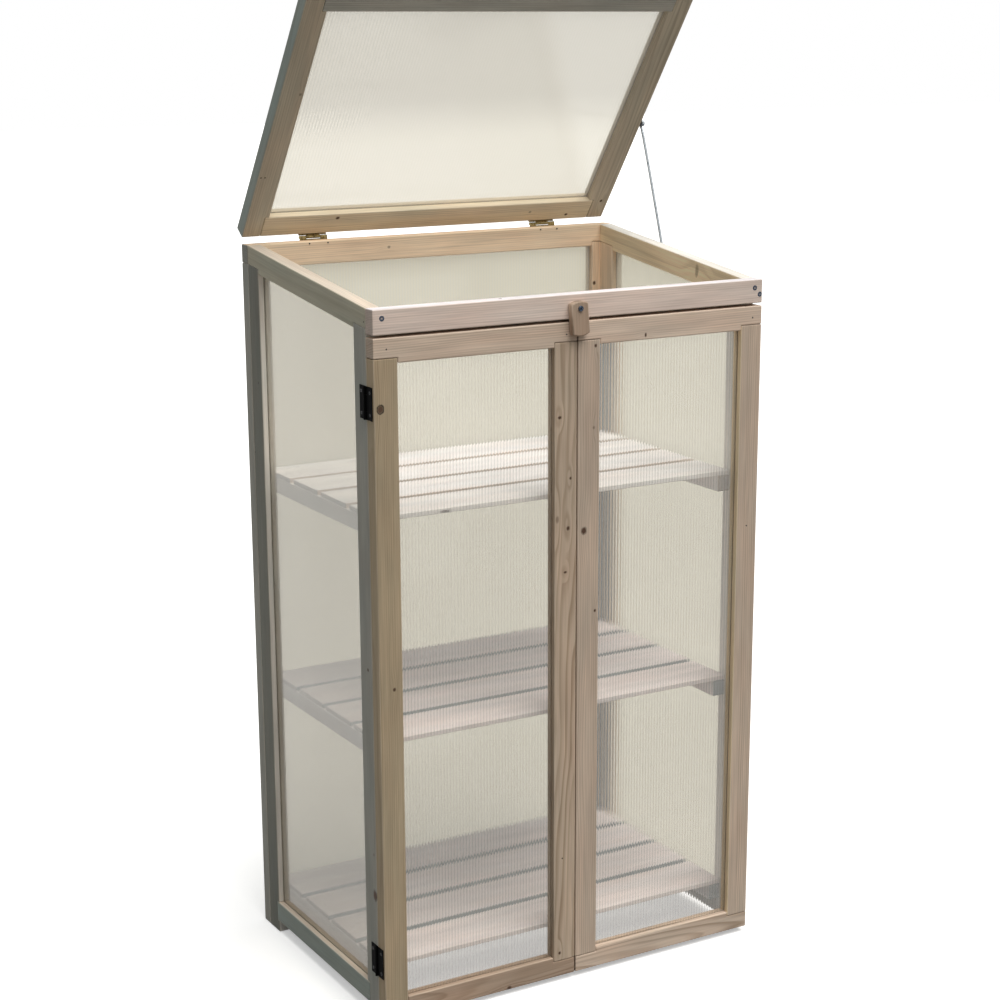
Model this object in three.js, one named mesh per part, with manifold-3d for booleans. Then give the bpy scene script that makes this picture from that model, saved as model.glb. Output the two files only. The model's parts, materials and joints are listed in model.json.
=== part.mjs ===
// Wooden mini greenhouse: a fir cabinet glazed with twin-wall sheet, two doors, a lid and three shelves.
// Millimetres, +X to the right seen from the front, +Y to the back, +Z up.
import * as THREE from 'three';
import { mergeVertices } from 'three/addons/utils/BufferGeometryUtils.js';
import Module from 'manifold-3d';

const wasm = await Module();
wasm.setup();

// Cabinet
const bodyWidth = 700;
const bodyDepth = 475;
const frontHeight = 1137;
const backHeight = 1188;
const timberThickness = 24;
const stileWidth = 40;
const topRailWidth = 38;
const bottomRailWidth = 35;
const haunch = 8; // how far a timber's end runs past the inner edge of the one it is let into
const jointGap = 0.3; // hairline between two timbers
const footHeight = 20; // floor to the underside of the bottom rails

// Glazing
const sheetThickness = 4;
const sheetSetback = 10; // outer face of the timber to the sheet
const lidSheetSetback = 8;
const grooveDepth = 9;
const grooveSlack = 0.3; // each side of the sheet
const sheetEdgeSlack = 1; // edge of the sheet to the bottom of its groove

// Doors
const doorFloorGap = 9;
const doorHeadGap = 4.5;
const doorMiddleGap = 2;
const doorHingeFromEnd = 97; // end of the door to the middle of its hinge

// Butt hinges
const hingeLength = 50;
const hingeLeafWidth = 20; // pin to the free edge of the leaf
const hingeLeafThickness = 1.4;
const hingeSeatGap = 0.2; // timber to leaf
const hingePinOffset = 2.7; // timber to the pin's axis
const hingePinRadius = 1.1;
const hingePinSlack = 0.3;
const hingeKnuckleLength = 12.5; // each outer knuckle
const hingeKnuckleGap = 0.4;

// Lid
const lidSideInset = 3; // side of the cabinet to the side of the lid
const lidFrontOverhang = 7; // the lid is longer than the cabinet is deep, from the back of the cabinet
const lidRailWidth = 40;
const lidHingeGap = 9; // top of the cabinet to the underside of the lid, above the pins
const lidHingeFromSide = 129; // side of the cabinet to the middle of the hinge
const lidRestOpening = 60.8; // degrees up from shut, as it stands on its stay
const lidShutGap = 0.4; // header to the shut lid

// Turn button
const buttonWidth = 30;
const buttonLength = 54;
const buttonEndRise = 4;
const buttonThickness = 12;
const buttonScrewFromEnd = 11;
const buttonScrewFromTop = 21; // below the top of the header
const buttonScrewFromMiddle = -3; // to the left of the cabinet's middle
const buttonLean = 4; // degrees
const buttonGap = 0.4; // header to button

// Round-headed screws that the button and the stay turn on
const screwRadius = 2;
const screwSlack = 0.3; // in the timber
const screwRunningSlack = 0.4; // in what turns on it
const screwDepth = 14;
const screwHeadRadius = 4.6;
const screwHeadHeight = 2.4;
const screwCrownRadius = 3.7;
const screwRimHeight = 1.7;
const drillOvershoot = 1;

// Lid stay
const stayWireRadius = 2.3;
const stayWallGap = 1.6; // side of the cabinet to the wire
const stayPivotFromHingeEdge = 205;
const stayPivotFromUnderside = 7;
const stayStudFromFront = 288.5;
const stayStudFromRoof = 23;
const stayCrank = 12; // centre of an eye to where the wire runs straight
const stayEye = [-30, 225]; // degrees, from its tip round to the crank
const stayHook = [135, 300]; // degrees, from the crank round to its tip

// Shelves
const shelfTops = { top_shelf: 817, middle_shelf: 460, bottom_shelf: 86 };
const shelfFromFront = 47;
const shelfBackGap = 1;
const shelfEndGap = 1;
const slatCount = 4;
const slatThickness = 8;
const slatGap = 12;
const bearerWidth = 23;
const bearerHeight = 27;

// Facets
const roundSides = 16;
const wireSides = 10;
const eyeSteps = 14;
const hookSteps = 9;
const buttonArcSteps = 5;

const fir = { color: 0xb5a696, roughness: 0.75, metalness: 0 };
const shelfFir = { color: 0xd8c9b0, roughness: 0.8, metalness: 0 };
const sheet = { color: 0xe2dccd, roughness: 0.25, metalness: 0, transparent: true, opacity: 0.5 };
const blackSteel = { color: 0x17181a, roughness: 0.45, metalness: 0.6 };
const brass = { color: 0xb8ac7e, roughness: 0.35, metalness: 0.9 };
const zinc = { color: 0xc9ccd0, roughness: 0.3, metalness: 0.9 };

const axisX = new THREE.Vector3(1, 0, 0);
const axisY = new THREE.Vector3(0, 1, 0);
const axisZ = new THREE.Vector3(0, 0, 1);
const left = axisX.clone().negate();
const front = axisY.clone().negate();
const down = axisZ.clone().negate();
const flat = new THREE.Matrix4();
const upright = new THREE.Matrix4().makeBasis(axisX, axisZ, front);
const sideways = new THREE.Matrix4().makeBasis(axisY, axisZ, axisX);

// Places that more than one sub-part uses
const sideFront = timberThickness + jointGap;
const sideBack = bodyDepth - timberThickness - jointGap;
const headerBottom = frontHeight - topRailWidth;
const doorTop = headerBottom - doorHeadGap;
const roofAngle = Math.atan2(backHeight - frontHeight, bodyDepth - 2 * timberThickness);
const lidPin = new THREE.Vector3(0, bodyDepth + hingePinOffset, backHeight + lidHingeGap / 2);
const lidRear = -hingePinOffset;
const lidFront = lidRear - bodyDepth - lidFrontOverhang;
const lidLeft = lidSideInset;
const lidRight = bodyWidth - lidSideInset;
const buttonScrewX = bodyWidth / 2 + buttonScrewFromMiddle;
const buttonScrew = new THREE.Vector3(buttonScrewX, 0, frontHeight - buttonScrewFromTop);
const stayPlane = bodyWidth + stayWallGap + stayWireRadius;

function roofAt(y, drop = 0) {
  // drop is measured square to the sloping top
  return frontHeight + (y - timberThickness) * Math.tan(roofAngle) - drop / Math.cos(roofAngle);
}

function lidTilt() {
  // shut, the underside clears the header's front edge and passes half the hinge gap above the pins
  const rise = lidPin.z - frontHeight - lidShutGap;
  const shut = Math.atan2(rise, lidPin.y) + Math.asin(lidHingeGap / 2 / Math.hypot(rise, lidPin.y));
  return THREE.MathUtils.degToRad(lidRestOpening) - shut;
}

function solidOf(geometry) {
  const bare = geometry.clone();
  bare.deleteAttribute('normal');
  bare.deleteAttribute('uv');
  const merged = mergeVertices(bare, 1e-4);
  return new wasm.Manifold(new wasm.Mesh({
    numProp: 3,
    vertProperties: new Float32Array(merged.attributes.position.array),
    triVerts: new Uint32Array(merged.index.array),
  }));
}

function geometryOf(solid) {
  const { vertProperties, triVerts } = solid.getMesh();
  const geometry = new THREE.BufferGeometry();
  geometry.setAttribute('position', new THREE.BufferAttribute(new Float32Array(vertProperties), 3));
  geometry.setIndex(new THREE.BufferAttribute(new Uint32Array(triVerts), 1));
  geometry.computeVertexNormals();
  return geometry;
}

function addMesh(parent, name, geometry, finish) {
  const mesh = new THREE.Mesh(geometry, new THREE.MeshStandardMaterial(finish));
  mesh.name = name;
  parent.add(mesh);
  return mesh;
}

function plate(outline, thickness, from = 0) {
  const shape = new THREE.Shape(outline.map(([u, v]) => new THREE.Vector2(u, v)));
  const geometry = new THREE.ExtrudeGeometry(shape, { depth: thickness, bevelEnabled: false });
  return geometry.translate(0, 0, from);
}

function box(low, high) {
  const size = high.map((value, i) => value - low[i]);
  const middle = high.map((value, i) => (value + low[i]) / 2);
  return new THREE.BoxGeometry(...size).translate(...middle);
}

function rod(radius, from, to) {
  // along X
  const geometry = new THREE.CylinderGeometry(radius, radius, to - from, roundSides);
  return geometry.rotateZ(-Math.PI / 2).translate((from + to) / 2, 0, 0);
}

function screw(reach) {
  // along X, with its head on what it holds, reach away from the timber
  const points = [
    [0, -screwDepth],
    [screwRadius, -screwDepth],
    [screwRadius, reach],
    [screwHeadRadius, reach],
    [screwCrownRadius, reach + screwRimHeight],
    [0, reach + screwHeadHeight],
  ].map(([radius, along]) => new THREE.Vector2(radius, along));
  return new THREE.LatheGeometry(points, roundSides).rotateZ(-Math.PI / 2);
}

function drill(timber, place, way) {
  // a blind hole for a screw, from the face at place and against the way that the screw points
  timber.updateWorldMatrix(true, false);
  const hole = rod(screwRadius + screwSlack, -screwDepth - screwSlack, drillOvershoot);
  hole.applyQuaternion(new THREE.Quaternion().setFromUnitVectors(axisX, way));
  hole.translate(place.x, place.y, place.z);
  hole.applyMatrix4(timber.matrixWorld.clone().invert());
  timber.geometry = geometryOf(solidOf(timber.geometry).subtract(solidOf(hole)));
}

function grow(outline, distance) {
  // moves each edge of a convex outline, listed anticlockwise, outward by the same distance
  const edges = outline.map(([x, y], i) => {
    const [nextX, nextY] = outline[(i + 1) % outline.length];
    const length = Math.hypot(nextX - x, nextY - y);
    const normal = [(nextY - y) / length, (x - nextX) / length];
    return { normal, offset: normal[0] * x + normal[1] * y + distance };
  });
  return edges.map((edge, i) => {
    const before = edges[(i + edges.length - 1) % edges.length];
    const [a, b] = before.normal;
    const [c, d] = edge.normal;
    const span = a * d - b * c;
    return [(before.offset * d - b * edge.offset) / span, (a * edge.offset - before.offset * c) / span];
  });
}

function addGlazedFrame(parent, { name, frame, place, members, sight, sheetFrom }) {
  // timbers as outlines, grooved all round for the sheet that shows inside the sight edges
  const group = new THREE.Group();
  group.applyMatrix4(frame);
  group.position.set(...place);
  const groove = solidOf(
    plate(grow(sight, grooveDepth), sheetThickness + 2 * grooveSlack, sheetFrom - grooveSlack),
  );
  for (const [part, outline] of Object.entries(members)) {
    const timber = solidOf(plate(outline, timberThickness)).subtract(groove);
    addMesh(group, `${name}_${part}`, geometryOf(timber), fir);
  }
  const pane = plate(grow(sight, grooveDepth - sheetEdgeSlack), sheetThickness, sheetFrom);
  addMesh(group, `${name}_glazing`, pane, sheet);
  parent.add(group);
}

function longRail(from, to, near, far, edgeAt, jointAt, sightAt) {
  // runs the whole width, over the stile ends, and fills out to the sight line between them
  return [
    [from, edgeAt(from)],
    [from, jointAt(from)],
    [near + jointGap, jointAt(near)],
    [near + jointGap, sightAt(near)],
    [far - jointGap, sightAt(far)],
    [far - jointGap, jointAt(far)],
    [to, jointAt(to)],
    [to, edgeAt(to)],
  ];
}

function shortRail(near, far, low, high) {
  // lies between two timbers and is let into both
  const from = near - haunch + jointGap;
  const to = far + haunch - jointGap;
  return [[from, low], [to, low], [to, high], [from, high]];
}

function leggedStile(outer, inner, topAt) {
  // stands on the floor, notched for the end of the bottom rail
  const notch = inner - Math.sign(inner - outer) * haunch;
  const railTop = footHeight + bottomRailWidth;
  return [
    [outer, 0],
    [inner, 0],
    [inner, footHeight - jointGap],
    [notch, footHeight - jointGap],
    [notch, railTop + jointGap],
    [inner, railTop + jointGap],
    [inner, topAt(inner) - jointGap],
    [outer, topAt(outer) - jointGap],
  ];
}

function addSide(parent, name, x, sheetFrom) {
  const near = sideFront + stileWidth;
  const far = sideBack - stileWidth;
  const low = footHeight + bottomRailWidth;
  const jointAt = (y) => roofAt(y, topRailWidth - haunch);
  const sightAt = (y) => roofAt(y, topRailWidth);
  addGlazedFrame(parent, {
    name,
    frame: sideways,
    place: [x, 0, 0],
    sheetFrom,
    sight: [[near, low], [far, low], [far, sightAt(far)], [near, sightAt(near)]],
    members: {
      front_stile: leggedStile(sideFront, near, jointAt),
      rear_stile: leggedStile(sideBack, far, jointAt),
      top_rail: longRail(sideFront, sideBack, near, far, roofAt, jointAt, sightAt),
      bottom_rail: shortRail(near, far, footHeight, low),
    },
  });
}

function addBack(parent) {
  const near = stileWidth;
  const far = bodyWidth - stileWidth;
  const low = footHeight + bottomRailWidth;
  const high = backHeight - topRailWidth;
  const jointAt = () => high + haunch;
  addGlazedFrame(parent, {
    name: 'back',
    frame: upright,
    place: [0, bodyDepth, 0],
    sheetFrom: sheetSetback,
    sight: [[near, low], [far, low], [far, high], [near, high]],
    members: {
      left_stile: leggedStile(0, near, jointAt),
      right_stile: leggedStile(bodyWidth, far, jointAt),
      top_rail: longRail(0, bodyWidth, near, far, () => backHeight, jointAt, () => high),
      bottom_rail: shortRail(near, far, footHeight, low),
    },
  });
}

function addDoor(parent, name, from, to) {
  const near = from + stileWidth;
  const far = to - stileWidth;
  const low = doorFloorGap + bottomRailWidth;
  const high = doorTop - topRailWidth;
  const stile = (a, b) => {
    const foot = low - haunch + jointGap;
    const head = high + haunch - jointGap;
    return [[a, foot], [b, foot], [b, head], [a, head]];
  };
  addGlazedFrame(parent, {
    name,
    frame: upright,
    place: [0, timberThickness, 0],
    sheetFrom: timberThickness - sheetSetback - sheetThickness,
    sight: [[near, low], [far, low], [far, high], [near, high]],
    members: {
      left_stile: stile(from, near),
      right_stile: stile(far, to),
      top_rail: longRail(from, to, near, far, () => doorTop, () => high + haunch, () => high),
      bottom_rail: longRail(from, to, near, far, () => doorFloorGap, () => low - haunch, () => low),
    },
  });
}

function addHeader(parent) {
  const rail = box([0, 0, headerBottom], [bodyWidth, timberThickness, frontHeight]);
  drill(addMesh(parent, 'header_rail', rail, fir), buttonScrew, front);
}

function addLeaf(parent, name, place, reach, outward, finish, hasPin) {
  // reach runs from the pin to the free edge, outward points away from the timber
  const group = new THREE.Group();
  const along = reach.clone().cross(outward);
  group.applyMatrix4(new THREE.Matrix4().makeBasis(along, reach, outward));
  group.position.copy(place);
  addMesh(group, name, leafGeometry(hasPin), finish);
  parent.add(group);
}

function leafGeometry(hasPin) {
  // pin along X, plate towards +Y against the timber, whose face is below
  const knuckleRadius = hingePinOffset - hingeSeatGap;
  const half = hingeLength / 2;
  const clear = knuckleRadius + hingeKnuckleGap;
  const inner = half - hingeKnuckleLength;
  const split = hasPin ? inner + hingeKnuckleGap / 2 : inner - hingeKnuckleGap / 2;
  const atEnds = hasPin ? 0 : clear;
  const atMiddle = hasPin ? clear : 0;
  const outline = [
    [-half, atEnds],
    [-split, atEnds],
    [-split, atMiddle],
    [split, atMiddle],
    [split, atEnds],
    [half, atEnds],
    [half, hingeLeafWidth],
    [-half, hingeLeafWidth],
  ];
  const leaf = solidOf(plate(outline, hingeLeafThickness, -knuckleRadius));
  if (hasPin) {
    const knuckles = [rod(knuckleRadius, -half, -split), rod(knuckleRadius, split, half)];
    const pin = rod(hingePinRadius, -half, half);
    return geometryOf(knuckles.reduce((sum, piece) => sum.add(solidOf(piece)), leaf.add(solidOf(pin))));
  }
  const bore = rod(hingePinRadius + hingePinSlack, -half, half);
  return geometryOf(leaf.add(solidOf(rod(knuckleRadius, -split, split))).subtract(solidOf(bore)));
}

function addDoorHinges(parent, name, x, outward) {
  const heights = { upper: doorTop - doorHingeFromEnd, lower: doorFloorGap + doorHingeFromEnd };
  for (const [level, z] of Object.entries(heights)) {
    const place = new THREE.Vector3(x, timberThickness + jointGap / 2, z);
    place.addScaledVector(outward, hingePinOffset);
    const hinge = `${name}_${level}_hinge`;
    addLeaf(parent, `${hinge}_frame_leaf`, place, axisY, outward, blackSteel, true);
    addLeaf(parent, `${hinge}_door_leaf`, place, front, outward, blackSteel, false);
  }
}

function addLidHinges(parent, lid) {
  const places = { left: lidHingeFromSide, right: bodyWidth - lidHingeFromSide };
  for (const [side, x] of Object.entries(places)) {
    const place = new THREE.Vector3(x, 0, 0);
    addLeaf(parent, `lid_${side}_hinge_frame_leaf`, place.clone().add(lidPin), down, axisY, brass, true);
    addLeaf(lid, `lid_${side}_hinge_lid_leaf`, place, axisZ, axisY, brass, false);
  }
}

function addLid(parent) {
  // origin on the pins; the lid runs forward from there, its underside half the hinge gap above them
  const lid = new THREE.Group();
  lid.position.copy(lidPin);
  lid.rotation.x = -lidTilt();
  parent.add(lid);
  const nearSight = lidFront + lidRailWidth;
  const farSight = lidRear - lidRailWidth;
  const leftSight = lidLeft + lidRailWidth;
  const rightSight = lidRight - lidRailWidth;
  const sideRail = (outer, inner) => {
    const notch = inner - Math.sign(inner - outer) * haunch;
    return [
      [outer, lidFront],
      [notch, lidFront],
      [notch, nearSight + jointGap],
      [inner, nearSight + jointGap],
      [inner, farSight - jointGap],
      [notch, farSight - jointGap],
      [notch, lidRear],
      [outer, lidRear],
    ];
  };
  addGlazedFrame(lid, {
    name: 'lid',
    frame: flat,
    place: [0, 0, lidHingeGap / 2],
    sheetFrom: timberThickness - lidSheetSetback - sheetThickness,
    sight: [[leftSight, nearSight], [rightSight, nearSight], [rightSight, farSight], [leftSight, farSight]],
    members: {
      left_rail: sideRail(lidLeft, leftSight),
      right_rail: sideRail(lidRight, rightSight),
      hinge_rail: shortRail(leftSight, rightSight, farSight, lidRear),
      front_rail: shortRail(leftSight, rightSight, lidFront, nearSight),
    },
  });
  return lid;
}

function addStay(parent, lid) {
  // a straight wire with an eye on the lid's screw and an open hook on the screw in the side rail
  const pivot = new THREE.Vector3(
    lidRight, lidRear - stayPivotFromHingeEdge, lidHingeGap / 2 + stayPivotFromUnderside,
  );
  lid.updateWorldMatrix(true, false);
  const worldPivot = pivot.clone().applyMatrix4(lid.matrixWorld);
  const stud = new THREE.Vector3(bodyWidth, stayStudFromFront, roofAt(stayStudFromFront, stayStudFromRoof));
  const headAt = stayPlane + stayWireRadius + screwSlack;
  drill(lid.getObjectByName('lid_right_rail'), worldPivot, axisX);
  addMesh(lid, 'stay_pivot_screw', screw(headAt - lidRight), zinc).position.copy(pivot);
  drill(parent.getObjectByName('right_side_top_rail'), stud, axisX);
  addMesh(parent, 'stay_hook_screw', screw(headAt - bodyWidth), zinc).position.copy(stud);
  const reach = Math.hypot(worldPivot.y - stud.y, worldPivot.z - stud.z);
  const wire = addMesh(parent, 'lid_stay', bentWire(stayRoute(reach), stayWireRadius), zinc);
  wire.position.set(stayPlane, worldPivot.y, worldPivot.z);
  wire.rotation.x = Math.atan2(stud.y - worldPivot.y, worldPivot.z - stud.z);
}

function stayRoute(reach) {
  const bend = screwRadius + screwRunningSlack + stayWireRadius;
  const arc = (z, [from, to], steps) => Array.from({ length: steps + 1 }, (_, i) => {
    const angle = THREE.MathUtils.degToRad(from + ((to - from) * i) / steps);
    return new THREE.Vector2(bend * Math.cos(angle), z + bend * Math.sin(angle));
  });
  const crank = [new THREE.Vector2(0, -stayCrank), new THREE.Vector2(0, stayCrank - reach)];
  return [...arc(0, stayEye, eyeSteps), ...crank, ...arc(-reach, stayHook, hookSteps)];
}

function bentWire(route, radius) {
  // a round wire along points in the YZ plane, with mitred rings and flat ends
  const positions = [];
  const faces = [];
  const last = route.length - 1;
  const direction = (i) => route[i + 1].clone().sub(route[i]).normalize();
  route.forEach((point, i) => {
    const before = direction(Math.max(i - 1, 0));
    const after = direction(Math.min(i, last - 1));
    const across = before.clone().add(after).normalize().rotateAround(new THREE.Vector2(), Math.PI / 2);
    for (let k = 0; k < wireSides; k += 1) {
      const angle = (2 * Math.PI * k) / wireSides;
      const out = radius * Math.cos(angle);
      positions.push(radius * Math.sin(angle), point.x + out * across.x, point.y + out * across.y);
    }
  });
  for (let i = 0; i < last; i += 1) {
    for (let k = 0; k < wireSides; k += 1) {
      const a = i * wireSides + k;
      const b = i * wireSides + ((k + 1) % wireSides);
      faces.push(a, b, a + wireSides, b, b + wireSides, a + wireSides);
    }
  }
  for (let k = 1; k < wireSides - 1; k += 1) {
    const end = last * wireSides;
    faces.push(0, k + 1, k, end, end + k, end + k + 1);
  }
  const geometry = new THREE.BufferGeometry();
  geometry.setAttribute('position', new THREE.Float32BufferAttribute(positions, 3));
  geometry.setIndex(faces);
  geometry.computeVertexNormals();
  return geometry;
}

function addButton(parent) {
  const group = new THREE.Group();
  group.applyMatrix4(upright);
  group.position.copy(buttonScrew).addScaledVector(front, buttonGap);
  group.rotateZ(THREE.MathUtils.degToRad(buttonLean));
  addMesh(group, 'turn_button', buttonGeometry(), fir);
  parent.add(group);
  const pin = screw(buttonGap + buttonThickness + screwSlack).rotateZ(-Math.PI / 2);
  addMesh(parent, 'turn_button_screw', pin, zinc).position.copy(buttonScrew);
}

function buttonGeometry() {
  // straight sides and shallow round ends, drilled near the upper end
  const half = buttonWidth / 2;
  const endRadius = (half ** 2 + buttonEndRise ** 2) / (2 * buttonEndRise);
  const spread = Math.asin(half / endRadius);
  const quarter = Math.PI / 2;
  const upper = buttonScrewFromEnd - endRadius;
  const lower = buttonScrewFromEnd - buttonLength + endRadius;
  const shape = new THREE.Shape();
  shape.absarc(0, upper, endRadius, quarter - spread, quarter + spread);
  shape.absarc(0, lower, endRadius, -quarter - spread, -quarter + spread);
  const hole = new THREE.Path().absarc(0, 0, screwRadius + screwRunningSlack, 0, 4 * quarter);
  shape.holes.push(hole);
  return new THREE.ExtrudeGeometry(shape, {
    depth: buttonThickness, bevelEnabled: false, curveSegments: buttonArcSteps,
  });
}

function addShelf(parent, name, top) {
  // slats from side to side on two bearers; the rear slat and the bearers are one solid
  const shelfBack = bodyDepth - timberThickness - shelfBackGap;
  const slatWidth = (shelfBack - shelfFromFront - (slatCount - 1) * slatGap) / slatCount;
  const slatBottom = top - slatThickness;
  const inside = timberThickness + jointGap;
  const slat = (i) => {
    const y = shelfFromFront + i * (slatWidth + slatGap);
    const lift = i < slatCount - 1 ? jointGap : 0;
    return box(
      [timberThickness + shelfEndGap, y, slatBottom + lift],
      [bodyWidth - timberThickness - shelfEndGap, y + slatWidth, top + lift],
    );
  };
  for (let i = 0; i < slatCount - 1; i += 1) {
    addMesh(parent, `${name}_slat_${i + 1}`, slat(i), shelfFir);
  }
  const bearers = [inside, bodyWidth - inside - bearerWidth].map((x) => solidOf(box(
    [x, shelfFromFront, slatBottom - bearerHeight],
    [x + bearerWidth, shelfBack, slatBottom],
  )));
  const frame = bearers.reduce((sum, bearer) => sum.add(bearer), solidOf(slat(slatCount - 1)));
  addMesh(parent, `${name}_rear_slat_and_bearers`, geometryOf(frame), shelfFir);
}

function standOnFloor(object) {
  // the origin is the middle of the overall box, on the floor
  const bounds = new THREE.Box3().setFromObject(object, true);
  const middle = bounds.getCenter(new THREE.Vector3());
  object.position.set(-middle.x, -middle.y, -bounds.min.z);
}

const greenhouse = new THREE.Group();
addBack(greenhouse);
addSide(greenhouse, 'left_side', 0, sheetSetback);
const rightSheetFrom = timberThickness - sheetSetback - sheetThickness;
addSide(greenhouse, 'right_side', bodyWidth - timberThickness, rightSheetFrom);
addHeader(greenhouse);
addDoor(greenhouse, 'left_door', 0, (bodyWidth - doorMiddleGap) / 2);
addDoor(greenhouse, 'right_door', (bodyWidth + doorMiddleGap) / 2, bodyWidth);
addDoorHinges(greenhouse, 'left_door', 0, left);
addDoorHinges(greenhouse, 'right_door', bodyWidth, axisX);
const lid = addLid(greenhouse);
addLidHinges(greenhouse, lid);
addStay(greenhouse, lid);
addButton(greenhouse);
for (const [name, top] of Object.entries(shelfTops)) {
  addShelf(greenhouse, name, top);
}
standOnFloor(greenhouse);

export default greenhouse;
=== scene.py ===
"""Dresses a wooden mini greenhouse: stained fir timbers, twin-wall glazing, hinges, screws and a wire stay.

Sizes are in millimetres unless a comment says otherwise, and MM turns them to Blender's metres.
"""

from __future__ import annotations

import json
import logging
import math
from dataclasses import dataclass
from enum import Enum
from functools import partial
from itertools import count
from typing import Callable, Iterable, Iterator, Sequence

import bmesh
import bpy
from mathutils import Matrix, Vector

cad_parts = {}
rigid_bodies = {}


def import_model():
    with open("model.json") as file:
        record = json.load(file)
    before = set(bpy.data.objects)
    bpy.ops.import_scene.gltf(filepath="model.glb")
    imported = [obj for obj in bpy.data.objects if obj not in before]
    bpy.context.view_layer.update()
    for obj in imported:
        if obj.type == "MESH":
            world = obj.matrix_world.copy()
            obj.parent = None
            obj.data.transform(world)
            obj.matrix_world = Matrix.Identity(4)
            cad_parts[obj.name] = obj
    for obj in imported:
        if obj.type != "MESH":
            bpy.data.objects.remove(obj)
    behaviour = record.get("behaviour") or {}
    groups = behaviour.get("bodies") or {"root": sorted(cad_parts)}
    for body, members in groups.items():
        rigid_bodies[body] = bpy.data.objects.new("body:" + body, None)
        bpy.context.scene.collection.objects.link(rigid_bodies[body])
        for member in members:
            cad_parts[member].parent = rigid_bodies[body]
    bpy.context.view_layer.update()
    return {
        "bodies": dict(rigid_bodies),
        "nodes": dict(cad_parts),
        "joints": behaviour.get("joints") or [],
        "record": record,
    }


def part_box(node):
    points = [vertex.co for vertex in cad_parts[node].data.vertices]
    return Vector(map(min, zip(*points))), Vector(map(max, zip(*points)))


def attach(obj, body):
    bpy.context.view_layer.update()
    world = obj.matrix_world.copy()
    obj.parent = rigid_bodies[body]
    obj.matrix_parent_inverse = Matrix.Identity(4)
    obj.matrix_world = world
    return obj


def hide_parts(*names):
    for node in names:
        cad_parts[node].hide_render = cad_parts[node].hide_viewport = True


MM = 0.001
LOG = logging.getLogger("mini_greenhouse")

Shape = bmesh.types.BMesh
Socket = bpy.types.NodeSocket
Material = bpy.types.Material
Piece = bpy.types.Object
Point = tuple[float, float, float]
Pair = tuple[float, float]
Adder = Callable[..., Socket]

X_AXIS = Vector((1, 0, 0))
Y_AXIS = Vector((0, 1, 0))
Z_AXIS = Vector((0, 0, 1))
FORWARD = -Y_AXIS

# Corners closer than this are one corner
WELD_GAP = 0.01 * MM
# A Mix node that blends two tones has them at inputs 6 and 7
TONES = {"out": 2, "data_type": "RGBA"}


def to_linear(colour: str) -> tuple[float, float, float, float]:
    """Turns an sRGB hex colour to linear light.

    Args:
        colour: six hex digits after a hash.

    Returns:
        Red, green, blue and an alpha of one.
    """
    parts = [int(colour[i : i + 2], 16) / 255 for i in (1, 3, 5)]
    lit = [c / 12.92 if c <= 0.04045 else ((c + 0.055) / 1.055) ** 2.4 for c in parts]
    return (*lit, 1.0)


def add_node(
    tree: bpy.types.NodeTree, kind: str, *feeds: object, out: int | str = 0, **settings: object
) -> Socket | None:
    """Adds one shader node with its settings and links.

    Args:
        tree: the material's or world's node tree.
        kind: the node's type without its ShaderNode prefix.
        feeds: a socket to link or a value to set for each input in turn, or for those that a dict names.
        out: the output to hand back.
        settings: attributes of the node itself.

    Returns:
        The output asked for, or None where the node has none.
    """
    node = tree.nodes.new("ShaderNode" + kind)
    for name, value in settings.items():
        setattr(node, name, value)
    for place, feed in enumerate(feeds):
        for key, value in (feed if isinstance(feed, dict) else {place: feed}).items():
            if isinstance(value, Socket):
                tree.links.new(value, node.inputs[key])
            else:
                node.inputs[key].default_value = value
    return node.outputs[out] if node.outputs else None


def new_material(name: str) -> tuple[Material, Adder]:
    """Makes a material without nodes.

    Args:
        name: the material's name.

    Returns:
        The material, and what adds a node to it.
    """
    material = bpy.data.materials.new(name)
    material.use_nodes = True
    material.node_tree.nodes.clear()
    return material, partial(add_node, material.node_tree)


def dress(piece: Piece, material: Material) -> None:
    """Gives a piece one material in place of what it has.

    Args:
        piece: the piece or the CAD node.
        material: its finish.
    """
    if piece.data.materials:
        for slot in piece.material_slots:
            slot.link = "OBJECT"
            slot.material = material
    else:
        piece.data.materials.append(material)
    LOG.info("%s wears %s", piece.name, material.name)


def welded(node: Piece) -> Shape:
    """Copies a CAD node's mesh, with its triangles sharing their corners.

    Args:
        node: the CAD node.

    Returns:
        The copy.
    """
    shape = bmesh.new()
    shape.from_mesh(node.data)
    bmesh.ops.remove_doubles(shape, verts=shape.verts, dist=WELD_GAP)
    return shape


def extent(points: Iterable[Vector], way: Vector) -> Pair:
    """The least and the greatest distance of some points along a way."""
    distances = [point.dot(way) for point in points]
    return min(distances), max(distances)


def put_in_scene(name: str, data: Shape | bpy.types.ID) -> Piece:
    """Makes an object and links it to the scene.

    Args:
        name: the object's name.
        data: a shape, which is freed, or the data of a lamp or camera.

    Returns:
        The object.
    """
    if isinstance(data, Shape):
        mesh = bpy.data.meshes.new(name)
        data.to_mesh(mesh)
        data.free()
        data = mesh
    made = bpy.data.objects.new(name, data)
    bpy.context.scene.collection.objects.link(made)
    return made


def middle_of(node: str) -> Vector:
    """The middle of a CAD node's box, in metres."""
    low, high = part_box(node)
    return (low + high) / 2


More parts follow.
